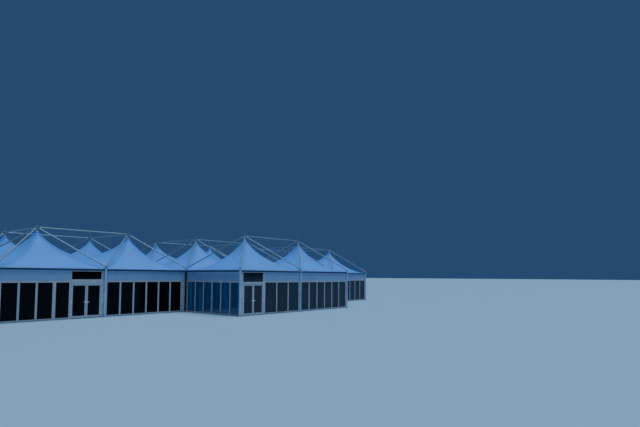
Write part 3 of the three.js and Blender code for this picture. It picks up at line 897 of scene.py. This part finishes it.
def build_membranes():
    """One stretched sheet over each unit."""
    roof = settings().roof
    for unit in UNITS:
        shared_left, shared_right = unit.name in ("middle", "east"), unit.name in ("west", "middle")
        shared_front, shared_rear = unit.name == "middle", unit.name == "porch"
        width, depth = unit.across * MODULE, unit.deep * MODULE
        ends = [GUTTER_HALF if shared else -HEM_OUT
                for shared in (shared_left, shared_right, shared_front, shared_rear)]
        across = cloth_lines(unit.across, ends[0], width - ends[1])
        along = cloth_lines(unit.deep, ends[2], depth - ends[3])
        cloth = bmesh.new()
        bmesh.ops.create_grid(
            cloth, x_segments=len(across) - 1, y_segments=len(along) - 1, size=0.5)
        cloth.verts.ensure_lookup_table()
        i = [round((v.co.x + 0.5) * (len(across) - 1)) for v in cloth.verts]
        j = [round((v.co.y + 0.5) * (len(along) - 1)) for v in cloth.verts]
        x, y = np.array(across)[i], np.array(along)[j]
        heights = Film(unit).at(x, y)
        for vert, a, b, z in zip(cloth.verts, x, y, heights):
            vert.co = (unit.x + a, unit.y + b, z)
        cut = [
            face for face in cloth.faces
            if any(max(abs(face.calc_center_median().x - leg.x),
                       abs(face.calc_center_median().y - leg.y)) < NOTCH_HALF
                   for leg in legs_of(unit))
        ]
        bmesh.ops.delete(cloth, geom=cut, context="FACES")
        area = sum(face.calc_area() for face in cloth.faces)
        sheet = Shape()
        sheet.take(cloth)
        piece = sheet.make("membrane_" + unit.name, "coated_cloth", sharp=60, mend=False,
                           stands_for=["canopy_" + unit.name])
        skin = piece.modifiers.new("cloth", "SOLIDIFY")
        skin.thickness, skin.offset = roof.cloth, -1


# Window walls: WALL_OUT, WALL_IN, BEAD_AT and GLASS_OUT are distances inwards from the line of the
# legs. What a cover, a sill, a trim or a drip bar has out or in is measured from WALL_OUT.

WALL_OUT = 0.0503
WALL_IN = 0.11
WALL_FOOT = 0.0123
WALL_TOP = 2.33
POST_HALF = 0.16
MULLION = 0.1
PANES_A_BAY = 6
CORNER_POST = 0.32
INNER_POST = 0.39
END_POST = 0.06
BROAD_MULLION = 0.17
BROAD_MULLION_AT = 2.93
FRAME_BEVEL = 0.003
FRAME_LIFT = 0.01
OVERLAP = 0.001
RAIL_BACK = 0.002
JOINT_HALF = 0.002
# A post broader than this has a joint at the leg, if that isn't too near to its edges
BROAD_POST = 0.3
JOINT_INSET = 0.05
# Posts between these widths carry a cover strip
COVERED_POSTS = (0.08, 0.25)
COVER_HALF, COVER_OUT, COVER_IN = 0.03, 0.007, 0.01
COVER_BELOW, COVER_ABOVE = 0.06, 0.05
SILL_OUT, SILL_IN, SILL_HIGH = 0.012, 0.006, 0.012
# Beads and gaskets: their width first
BEAD, BEAD_DEEP, BEAD_AT = 0.01, 0.012, 0.06
GASKET, GASKET_BACK = 0.006, 0.006
PANE_CLEAR = 0.002
FOOT_SEAL_IN, FOOT_SEAL_HIGH = 0.01, 0.011
GLASS_OUT = 0.084
PANE_THICK = 0.008

# Places and sizes of the doors, along a run and upwards
DOOR_WIDTH = 1.8
HALL_DOOR_AT = 3.975
PORCH_DOOR_AT = 0.33
PORTAL_POST = 0.06
PORCH_POST = 0.17
DOOR_HEAD = 2.1
PORTAL_TOP = 2.9197
HALL_TRANSOM = (2.38, 2.88)
PORCH_TRANSOM = (2.25, 2.89)
LEAF_GAP = 0.006
MEETING_GAP = 0.01
LEAF_OUT, LEAF_IN = 0.052, 0.097
LEAF_LOW, LEAF_TOP = 0.035, 2.09
LEAF_SILL = 0.12
AXIS_OUT = 0.038
HINGE_HEIGHTS = (0.25, 1.0, 1.75)
KNUCKLE = 0.045
HANDLE_HEIGHT = 1.0
LEVER_RADIUS = 0.013
HANDLE_REACH, HANDLE_CLEAR = 0.05, 0.0005
LEVER_OUT = HANDLE_REACH - LEVER_RADIUS - HANDLE_CLEAR


def panes(start, end, count):
    """Equal panes between two posts, parted by mullions."""
    pitch = (end - start + MULLION) / count
    return [(start + k * pitch, start + (k + 1) * pitch - MULLION) for k in range(count)]


def flat(lists):
    return [item for items in lists for item in items]


def bay_panes(bays):
    """The panes of every bay, numbered along the run."""
    return flat(
        panes(k * MODULE + POST_HALF, (k + 1) * MODULE - POST_HALF, PANES_A_BAY) for k in bays)


HALL_DOOR = (HALL_DOOR_AT - PORTAL_POST, HALL_DOOR_AT + DOOR_WIDTH + PORTAL_POST)
PORCH_DOOR = (WALL_OUT, PORCH_DOOR_AT + DOOR_WIDTH + PORCH_POST)
WALLS = {
    "hall_front_west_left": ("hall_front_west", [
        *panes(CORNER_POST, BROAD_MULLION_AT, count=3),
        (BROAD_MULLION_AT + BROAD_MULLION, HALL_DOOR[0] - END_POST)]),
    "hall_front_west_right": (
        "hall_front_west", panes(MODULE + POST_HALF, HALL - INNER_POST, PANES_A_BAY)),
    "hall_front_east": ("hall_front_east", [
        *panes(INNER_POST, MODULE - POST_HALF, PANES_A_BAY), *bay_panes([1])]),
    "porch_west": ("porch_west", bay_panes([0])),
    "porch_east": ("porch_east", bay_panes([0])),
    "porch_front": ("porch_front", [
        *panes(PORCH_DOOR[1] + END_POST, MODULE - POST_HALF, count=3), *bay_panes([1])]),
    "east_wall": ("east", bay_panes([0, 1])),
    "back_wall": ("back", bay_panes(range(6))),
    "west_wall": ("west", bay_panes([0, 1])),
}


# Copies of the glass with painted shade and painted reflection: the left wing's panes painted almost
# black, as the dusk leaves them, and the porch's left side painted blue
GLASS = {
    "hall_front_west_left": "glass_painted_dark",
    "hall_front_west_right": "glass_painted_dark",
    "hall_door": "glass_painted_dark",
    "porch_west": "glass_painted_blue",
}


def put_frame(shape, s0, s1, z0, z1, n0, n1, wide):
    """Four bars just inside an opening."""
    shape.box((s0, n0, z0), (s0 + wide, n1, z1))
    shape.box((s1 - wide, n0, z0), (s1, n1, z1))
    shape.box((s0 + wide, n0, z0), (s1 - wide, n1, z0 + wide))
    shape.box((s0 + wide, n0, z1 - wide), (s1 - wide, n1, z1))


def glazing(beads, gaskets, glass, s0, s1, z0, z1, n_out, n_glass, n_back):
    """Beads, gasket and pane in one opening."""
    put_frame(beads, s0, s1, z0, z1, n_out, n_out + BEAD_DEEP, BEAD)
    put_frame(gaskets, s0 + BEAD - OVERLAP, s1 - BEAD + OVERLAP, z0 + BEAD - OVERLAP,
              z1 - BEAD + OVERLAP, n_out + GASKET_BACK, n_glass, GASKET)
    put_frame(gaskets, s0, s1, z0, z1, n_glass + PANE_THICK, n_back, GASKET)
    glass.box((s0 + PANE_CLEAR, n_glass, z0 + PANE_CLEAR),
              (s1 - PANE_CLEAR, n_glass + PANE_THICK, z1 - PANE_CLEAR))


def build_walls():
    """Window walls of rails, posts and mullions, with a pane in every opening."""
    walls = settings().walls
    for name, (run, openings) in WALLS.items():
        bars, beads, gaskets, glass = (Shape(RUNS[run]) for _ in range(4))
        s0, s1 = span_in_run(name + "_frame", run)
        edges = [s0, *flat(openings), s1]
        for start, end in zip(edges[::2], edges[1::2]):
            joint = round((start + end) / 2 / MODULE) * MODULE
            stretches = [(start, end)]
            if end - start > BROAD_POST and start + JOINT_INSET < joint < end - JOINT_INSET:
                stretches = [(start, joint - JOINT_HALF), (joint + JOINT_HALF, end)]
            for a, b in stretches:
                bars.box((a, WALL_OUT, WALL_FOOT + FRAME_LIFT), (b, WALL_IN, WALL_TOP))
                if COVERED_POSTS[0] < b - a < COVERED_POSTS[1]:
                    middle = (a + b) / 2
                    bars.box((middle - COVER_HALF, WALL_OUT - COVER_OUT, walls.sill - COVER_BELOW),
                             (middle + COVER_HALF, WALL_OUT + COVER_IN, walls.head + COVER_ABOVE))
        for a, b in openings:
            bars.box((a - OVERLAP, WALL_OUT + RAIL_BACK, WALL_FOOT + FRAME_LIFT),
                     (b + OVERLAP, WALL_IN, walls.sill))
            bars.box((a - OVERLAP, WALL_OUT + RAIL_BACK, walls.head), (b + OVERLAP, WALL_IN, WALL_TOP))
            bars.box((a, WALL_OUT - SILL_OUT, walls.sill - SILL_HIGH),
                     (b, WALL_OUT + SILL_IN, walls.sill))
            glazing(beads, gaskets, glass, a, b, walls.sill, walls.head, BEAD_AT, GLASS_OUT, WALL_IN)
        bars.round_edges(FRAME_BEVEL)
        gaskets.box((s0, WALL_OUT + FOOT_SEAL_IN, WALL_FOOT),
                    (s1, WALL_IN - FOOT_SEAL_IN, WALL_FOOT + FOOT_SEAL_HIGH))
        bars.make(name + "_bars", "coated_frames", stands_for=[name + "_frame"])
        beads.make(name + "_beads", "coated_frames")
        gaskets.make(name + "_gaskets", "moulded_rubber")
        glass.make(name + "_panes", GLASS.get(name, "tinted_glass"), stands_for=[name + "_glass"])


# Thickness of the dark corner strips, which are painted shade over the legs, their gap to the leg, and
# their lower and upper ends
SHADE_STRIP, SHADE_STRIP_GAP = 0.006, 0.0005
SHADE_STRIP_LOW, SHADE_STRIP_TOP = 0.062, EAVE_LOW - 0.014


def build_corner_shade_strips():
    """Dark strips over the legs in the two inner corners: painted shade where the corners fall into
    shadow.
    """
    shade_strips = Shape()
    half = settings().frame.leg_half + SHADE_STRIP_GAP
    for side in (-1, 1):
        x = side * MODULE
        outer, near = x + side * (half + SHADE_STRIP), x - side * half
        shade_strips.box((min(outer, near), HALL_FRONT - half - SHADE_STRIP, SHADE_STRIP_LOW),
                  (max(outer, near), HALL_FRONT - half, SHADE_STRIP_TOP))
        shade_strips.box((min(outer, x + side * half), HALL_FRONT - half, SHADE_STRIP_LOW),
                  (max(outer, x + side * half), HALL_FRONT + half, SHADE_STRIP_TOP))
    shade_strips.make("inner_corner_shade_strips", "moulded_rubber")


# Fascias

FASCIA_IN = 0.08
PANEL_GAP = 0.002
PANEL_BEVEL = 0.002
PANEL_SHORTEST = 0.03
JOINT_CLEAR = 0.2
HALF_BAY = MODULE / 2
LONGEST_RUN = round(3 * HALL / HALF_BAY)
TOP_TRIM_OUT, TOP_TRIM_HIGH = 0.006, 0.03
LOW_TRIM_OUT, LOW_TRIM_HIGH = 0.01, 0.02
TRIM_IN = 0.005
PORTAL_GAP = 0.0005
FASCIAS = {
    "west": [("hall_front_west", WALL_OUT, HALL, HALL_DOOR), ("west", WALL_OUT, HALL, None),
             ("back", 2 * HALL, 3 * HALL - WALL_OUT, None)],
    "east": [("hall_front_east", 0.0, HALL - WALL_OUT, None), ("east", WALL_OUT, HALL, None),
             ("back", WALL_OUT, HALL, None)],
    "back": [("back", HALL, 2 * HALL, None)],
    "porch": [("porch_west", 0.0, MODULE - WALL_OUT, None),
              ("porch_front", WALL_OUT, HALL - WALL_OUT, PORCH_DOOR),
              ("porch_east", WALL_OUT, MODULE, None)],
}


def fascia_panels(start, end, door):
    """The stretches of panel between joints, which stand at the legs and in mid-bay."""
    joints = [k * HALF_BAY for k in range(LONGEST_RUN + 1)]
    cuts = {start, end}
    cuts.update(c for c in joints if start + JOINT_CLEAR < c < end - JOINT_CLEAR)
    if door:
        cuts = {c for c in cuts
                if not door[0] - JOINT_CLEAR < c < door[1] + JOINT_CLEAR or c in (start, end)}
        cuts.update(door)
    cuts = sorted(cuts)
    stretches = [(a, b) for a, b in zip(cuts, cuts[1:]) if b - a > PANEL_SHORTEST]
    if not door:
        return stretches
    return [(a, b) for a, b in stretches if a < door[0] - OVERLAP or a >= door[1] - OVERLAP]


def build_fascias():
    """Coated panels between the window heads and the eaves, with trims above and below."""
    for name, stretches in FASCIAS.items():
        panels = Shape()
        for run, start, end, door in stretches:
            part = Shape(RUNS[run])
            for a, b in fascia_panels(start, end, door):
                part.box((a + PANEL_GAP, WALL_OUT, WALL_TOP + PANEL_GAP),
                         (b - PANEL_GAP, FASCIA_IN, EAVE_LOW))
                part.box((a, WALL_OUT - TOP_TRIM_OUT, EAVE_LOW - TOP_TRIM_HIGH),
                         (b, WALL_OUT + TRIM_IN, EAVE_LOW))
                part.box((a, WALL_OUT - LOW_TRIM_OUT, WALL_TOP - PANEL_GAP),
                         (b, WALL_OUT + TRIM_IN, WALL_TOP + LOW_TRIM_HIGH))
            if door:
                part.box((door[0], WALL_OUT, PORTAL_TOP + PORTAL_GAP),
                         (door[1], FASCIA_IN, EAVE_LOW))
            bmesh.ops.transform(part.bm, matrix=part.axes, verts=part.bm.verts[:])
            panels.take(part.bm)
        panels.round_edges(PANEL_BEVEL)
        panels.make("fascias_" + name, "coated_fascias", stands_for=["band_" + name])


# Doors

DOORS = {
    "hall_door": ("hall_front_west", HALL_DOOR_AT, HALL_DOOR, HALL_TRANSOM),
    "porch_door": ("porch_front", PORCH_DOOR_AT, PORCH_DOOR, PORCH_TRANSOM),
}


# Half hinges
BARREL_RADIUS = 0.009
STRAP, STRAP_THICK, STRAP_SUNK = 0.043, 0.004, 0.0005
SCREW_AT, SCREW_INSET = 0.032, 0.011
SCREW_RADIUS, SCREW_HEAD = 0.0045, 0.0055
HINGE_PLAY = 0.0003
# Drip bar over a door
DRIP_INSET, DRIP_OUT, DRIP_IN = 0.01, 0.012, 0.01
DRIP_LOW, DRIP_TOP = DOOR_HEAD + 0.02, DOOR_HEAD + 0.034
# Rose plate, neck and lock of a lever
ROSE_HALF, ROSE_THICK, ROSE_BEVEL = 0.02, 0.004, 0.0015
ROSE_BELOW, ROSE_ABOVE = 0.11, 0.06
NECK_RADIUS = 0.011
LOCK_BELOW, LOCK_RADIUS, LOCK_OUT = 0.07, 0.009, 0.008
# Beads and pane of a leaf, and the seal under it
LEAF_BEAD_BACK, LEAF_GLASS_OUT = 0.006, 0.0705
LEAF_SEAL_INSET, LEAF_SEAL_BELOW, LEAF_SEAL_ABOVE = 0.004, 0.018, 0.004
LEAF_SEAL_OUT, LEAF_SEAL_IN = LEAF_OUT + 0.015, LEAF_OUT + 0.025


def put_half_hinge(shape, axis, towards, z0, n_face):
    """Barrel, strap and screws of one half hinge."""
    z1 = z0 + KNUCKLE
    shape.rod((axis, AXIS_OUT, z0), (axis, AXIS_OUT, z1), BARREL_RADIUS)
    end = axis + towards * STRAP
    shape.box((min(axis, end), n_face - STRAP_THICK, z0), (max(axis, end), n_face + STRAP_SUNK, z1))
    for z in (z0 + SCREW_INSET, z1 - SCREW_INSET):
        screw = axis + towards * SCREW_AT
        shape.rod((screw, n_face - SCREW_HEAD, z), (screw, n_face, z), SCREW_RADIUS, sides=8)


def build_portals():
    """Door posts, heads and transom lights, with the fixed half of each hinge."""
    for name, (run, at, (left, right), (low, high)) in DOORS.items():
        bars, beads, gaskets, glass, hinges = (Shape(RUNS[run]) for _ in range(5))
        end = at + DOOR_WIDTH
        bars.box((left, WALL_OUT, WALL_FOOT), (at, WALL_IN, PORTAL_TOP))
        bars.box((end, WALL_OUT, WALL_FOOT), (right, WALL_IN, PORTAL_TOP))
        bars.box((at, WALL_OUT + OVERLAP, DOOR_HEAD), (end, WALL_IN, low))
        bars.box((at, WALL_OUT + OVERLAP, high), (end, WALL_IN, PORTAL_TOP))
        bars.box((at + DRIP_INSET, WALL_OUT - DRIP_OUT, DRIP_LOW),
                 (end - DRIP_INSET, WALL_OUT + DRIP_IN, DRIP_TOP))
        bars.round_edges(FRAME_BEVEL)
        glazing(beads, gaskets, glass, at, end, low, high, BEAD_AT, GLASS_OUT, WALL_IN)
        for z in HINGE_HEIGHTS:
            put_half_hinge(hinges, at + LEAF_GAP / 2, -1, z, WALL_OUT)
            put_half_hinge(hinges, end - LEAF_GAP / 2, 1, z, WALL_OUT)
        bars.make(name + "_posts", "coated_frames", stands_for=[name + "_portal"])
        beads.make(name + "_transom_beads", "coated_frames")
        gaskets.make(name + "_transom_gaskets", "moulded_rubber")
        glass.make(name + "_transom_pane", GLASS.get(name, "tinted_glass"),
                   stands_for=[name + "_transom"])
        hinges.make(name + "_fixed_hinges", "satin_chrome")


def put_lever(shape, lock, towards, face, outward):
    """Rose plate, neck and lever on one face of a leaf."""
    lever = settings().doors.lever
    plate = sorted((face, face + outward * ROSE_THICK))
    shape.box((lock - ROSE_HALF, plate[0], HANDLE_HEIGHT - ROSE_BELOW),
              (lock + ROSE_HALF, plate[1], HANDLE_HEIGHT + ROSE_ABOVE))
    shape.round_edges(ROSE_BEVEL)
    reach = face + outward * LEVER_OUT
    shape.rod((lock, face, HANDLE_HEIGHT), (lock, reach, HANDLE_HEIGHT), NECK_RADIUS)
    shape.ball((lock, reach, HANDLE_HEIGHT), LEVER_RADIUS)
    tip = lock - towards * (lever - LEVER_RADIUS)
    shape.rod((lock, reach, HANDLE_HEIGHT), (tip, reach, HANDLE_HEIGHT), LEVER_RADIUS)
    shape.ball((tip, reach, HANDLE_HEIGHT), LEVER_RADIUS)
    cylinder = HANDLE_HEIGHT - LOCK_BELOW
    shape.rod((lock, face, cylinder), (lock, face + outward * LOCK_OUT, cylinder), LOCK_RADIUS)


def build_leaves():
    """Door leaves of stiles and rails round a pane, with levers and the moving half hinges."""
    doors = settings().doors
    for name, (run, at, _, _) in DOORS.items():
        end = at + DOOR_WIDTH
        left_end = (at + end - MEETING_GAP) / 2
        leaves = (
            ("left", at + LEAF_GAP, left_end, at + LEAF_GAP / 2, 1),
            ("right", left_end + MEETING_GAP, end - LEAF_GAP, end - LEAF_GAP / 2, -1),
        )
        for side, s0, s1, axis, towards in leaves:
            body = f"{name}_leaf_{side}"
            bars, beads, gaskets, glass, hinges, handles = (Shape(RUNS[run]) for _ in range(6))
            left, right = s0 + doors.stile, s1 - doors.stile
            low, high = LEAF_LOW + LEAF_SILL, LEAF_TOP - doors.stile
            bars.box((s0, LEAF_OUT, LEAF_LOW), (left, LEAF_IN, LEAF_TOP))
            bars.box((right, LEAF_OUT, LEAF_LOW), (s1, LEAF_IN, LEAF_TOP))
            bars.box((left, LEAF_OUT + OVERLAP, LEAF_LOW), (right, LEAF_IN - OVERLAP, low))
            bars.box((left, LEAF_OUT + OVERLAP, high), (right, LEAF_IN - OVERLAP, LEAF_TOP))
            bars.round_edges(FRAME_BEVEL)
            glazing(beads, gaskets, glass, left, right, low, high, LEAF_OUT + LEAF_BEAD_BACK,
                    LEAF_GLASS_OUT, LEAF_IN - LEAF_BEAD_BACK)
            gaskets.box((s0 + LEAF_SEAL_INSET, LEAF_SEAL_OUT, LEAF_LOW - LEAF_SEAL_BELOW),
                        (s1 - LEAF_SEAL_INSET, LEAF_SEAL_IN, LEAF_LOW + LEAF_SEAL_ABOVE))
            for z in HINGE_HEIGHTS:
                put_half_hinge(hinges, axis, towards, z + KNUCKLE + HINGE_PLAY, LEAF_OUT)
            lock = s1 - doors.stile / 2 if towards > 0 else s0 + doors.stile / 2
            for face, outward in ((LEAF_OUT, -1), (LEAF_IN, 1)):
                lever = Shape()
                put_lever(lever, lock, towards, face, outward)
                handles.take(lever.bm)
            bars.make(body + "_bars", "coated_frames", body, stands_for=[body])
            beads.make(body + "_beads", "coated_frames", body)
            gaskets.make(body + "_gaskets", "moulded_rubber", body)
            glass.make(body + "_pane", GLASS.get(name, "tinted_glass"), body)
            hinges.make(body + "_hinges", "satin_chrome", body)
            handles.make(body + "_levers", "satin_chrome", body)


# Stage

CAMERA_AT = Vector((-26.22, -32.14, 2.68))
CAMERA_YAW = math.radians(50.96)
CAMERA_PITCH = math.radians(3.25)
CAMERA_ROLL = math.radians(0.36)
CAMERA_LENS = 25.861
CAMERA_SHIFT = 0.057
FILM_WIDTH = 36.0  # millimetres, as the lens is
FARTHEST = 2000
FLOOR_RADIUS, FLOOR_SIDES, FLOOR_MOTTLE = 700, 96, 0.02
KEY_TILT, KEY_TURN, KEY_SPREAD = math.radians(13), math.radians(20), math.radians(60)
KEY_COLOUR = (0.36, 0.68, 1.0)


def build_camera():
    """A camera at the photograph's viewing angle, for a frame of 640 by 427."""
    data = bpy.data.cameras.new("camera")
    data.lens, data.sensor_width, data.clip_end = CAMERA_LENS, FILM_WIDTH, FARTHEST
    data.shift_y = CAMERA_SHIFT
    camera = bpy.data.objects.new("camera", data)
    ahead = Vector((math.sin(CAMERA_YAW) * math.cos(CAMERA_PITCH),
                    math.cos(CAMERA_YAW) * math.cos(CAMERA_PITCH), math.sin(CAMERA_PITCH)))
    level = ahead.cross(Vector((0, 0, 1))).normalized()
    upward = level.cross(ahead)
    right = level * math.cos(CAMERA_ROLL) + upward * math.sin(CAMERA_ROLL)
    top = upward * math.cos(CAMERA_ROLL) - level * math.sin(CAMERA_ROLL)
    turn = Matrix((right, top, -ahead)).transposed().to_4x4()
    camera.matrix_world = Matrix.Translation(CAMERA_AT) @ turn
    bpy.context.scene.collection.objects.link(camera)
    bpy.context.scene.camera = camera


def build_stage():
    """Pale floor, soft light and camera."""
    stage = settings().stage
    build_camera()
    ground = bmesh.new()
    bmesh.ops.create_circle(ground, cap_ends=True, radius=FLOOR_RADIUS, segments=FLOOR_SIDES)
    mesh = bpy.data.meshes.new("floor")
    ground.to_mesh(mesh)
    ground.free()
    floor_finish = Finish("pale_floor", roughness=0.8)
    patches = floor_finish.noise(0.15)
    floor_finish.colour(floor_finish.mix(patches, shade(stage.floor_colour, 1 - FLOOR_MOTTLE),
                                         shade(stage.floor_colour, 1 + FLOOR_MOTTLE)))
    mesh.materials.append(floor_finish.material)
    floor = bpy.data.objects.new("floor", mesh)
    bpy.context.scene.collection.objects.link(floor)
    world = bpy.data.worlds.new("soft sky")
    world.use_nodes = True
    sky = world.node_tree.nodes["Background"]
    sky.inputs["Color"].default_value = (*stage.sky_colour, 1)
    sky.inputs["Strength"].default_value = stage.sky_strength
    bpy.context.scene.world = world
    sun = bpy.data.lights.new("soft key", "SUN")
    sun.energy, sun.angle, sun.color = stage.sun_strength, KEY_SPREAD, KEY_COLOUR
    key = bpy.data.objects.new("soft key", sun)
    key.rotation_euler = (KEY_TILT, 0, KEY_TURN)
    bpy.context.scene.collection.objects.link(key)


# Operators and panel


class MARQUEE_OT_stage(Operator):
    """Set the floor, the light and the camera"""

    bl_idname = "marquee.stage"
    bl_label = "Stage"

    def execute(self, context):
        build_stage()
        return {"FINISHED"}


class MARQUEE_OT_legs(Operator):
    """Build the legs, base plates and strut shoes"""

    bl_idname = "marquee.legs"
    bl_label = "Legs"

    def execute(self, context):
        build_legs()
        return {"FINISHED"}


class MARQUEE_OT_eaves(Operator):
    """Build the eave beams, castings, welt rails and gutters"""

    bl_idname = "marquee.eaves"
    bl_label = "Eaves"

    def execute(self, context):
        build_eaves()
        return {"FINISHED"}


class MARQUEE_OT_outside_frame(Operator):
    """Build the struts, ring tubes, hubs, spikes and peak rods"""

    bl_idname = "marquee.outside_frame"
    bl_label = "Outside frame"

    def execute(self, context):
        build_outside_frame()
        return {"FINISHED"}


class MARQUEE_OT_membranes(Operator):
    """Build the four stretched membranes"""

    bl_idname = "marquee.membranes"
    bl_label = "Membranes"

    def execute(self, context):
        build_membranes()
        return {"FINISHED"}


class MARQUEE_OT_walls(Operator):
    """Build the window walls and their panes"""

    bl_idname = "marquee.walls"
    bl_label = "Window walls"

    def execute(self, context):
        build_walls()
        build_corner_shade_strips()
        return {"FINISHED"}


class MARQUEE_OT_fascias(Operator):
    """Build the fascia panels under the eaves"""

    bl_idname = "marquee.fascias"
    bl_label = "Fascias"

    def execute(self, context):
        build_fascias()
        return {"FINISHED"}


class MARQUEE_OT_portals(Operator):
    """Build the door posts, heads and transom lights"""

    bl_idname = "marquee.portals"
    bl_label = "Door portals"

    def execute(self, context):
        build_portals()
        return {"FINISHED"}


class MARQUEE_OT_leaves(Operator):
    """Build the door leaves with their levers and hinges"""

    bl_idname = "marquee.leaves"
    bl_label = "Door leaves"

    def execute(self, context):
        build_leaves()
        return {"FINISHED"}


OPERATORS = (
    MARQUEE_OT_stage,
    MARQUEE_OT_legs,
    MARQUEE_OT_eaves,
    MARQUEE_OT_outside_frame,
    MARQUEE_OT_membranes,
    MARQUEE_OT_walls,
    MARQUEE_OT_fascias,
    MARQUEE_OT_portals,
    MARQUEE_OT_leaves,
)


class MARQUEE_PT_panel(Panel):
    """Lists the steps that build the marquee"""

    bl_idname = "MARQUEE_PT_panel"
    bl_label = "Marquee"
    bl_space_type = "VIEW_3D"
    bl_region_type = "UI"
    bl_category = "Marquee"

    def draw(self, context):
        for group in ("roof", "frame", "walls", "doors", "stage"):
            values = getattr(context.scene.marquee, group)
            box = self.layout.box()
            for key in values.bl_rna.properties.keys():
                if key not in ("rna_type", "name"):
                    box.prop(values, key)
        for step in OPERATORS:
            self.layout.operator(step.bl_idname)


CLASSES = (
    RoofSettings,
    FrameSettings,
    WallSettings,
    DoorSettings,
    StageSettings,
    MarqueeSettings,
    *OPERATORS,
    MARQUEE_PT_panel,
)


def register():
    for item in CLASSES:
        bpy.utils.register_class(item)
    bpy.types.Scene.marquee = PointerProperty(type=MarqueeSettings)


def unregister():
    del bpy.types.Scene.marquee
    for item in reversed(CLASSES):
        bpy.utils.unregister_class(item)


def main():
    register()
    for step in OPERATORS:
        getattr(bpy.ops.marquee, step.bl_idname.split(".")[1])()


if __name__ == "__main__":
    main()
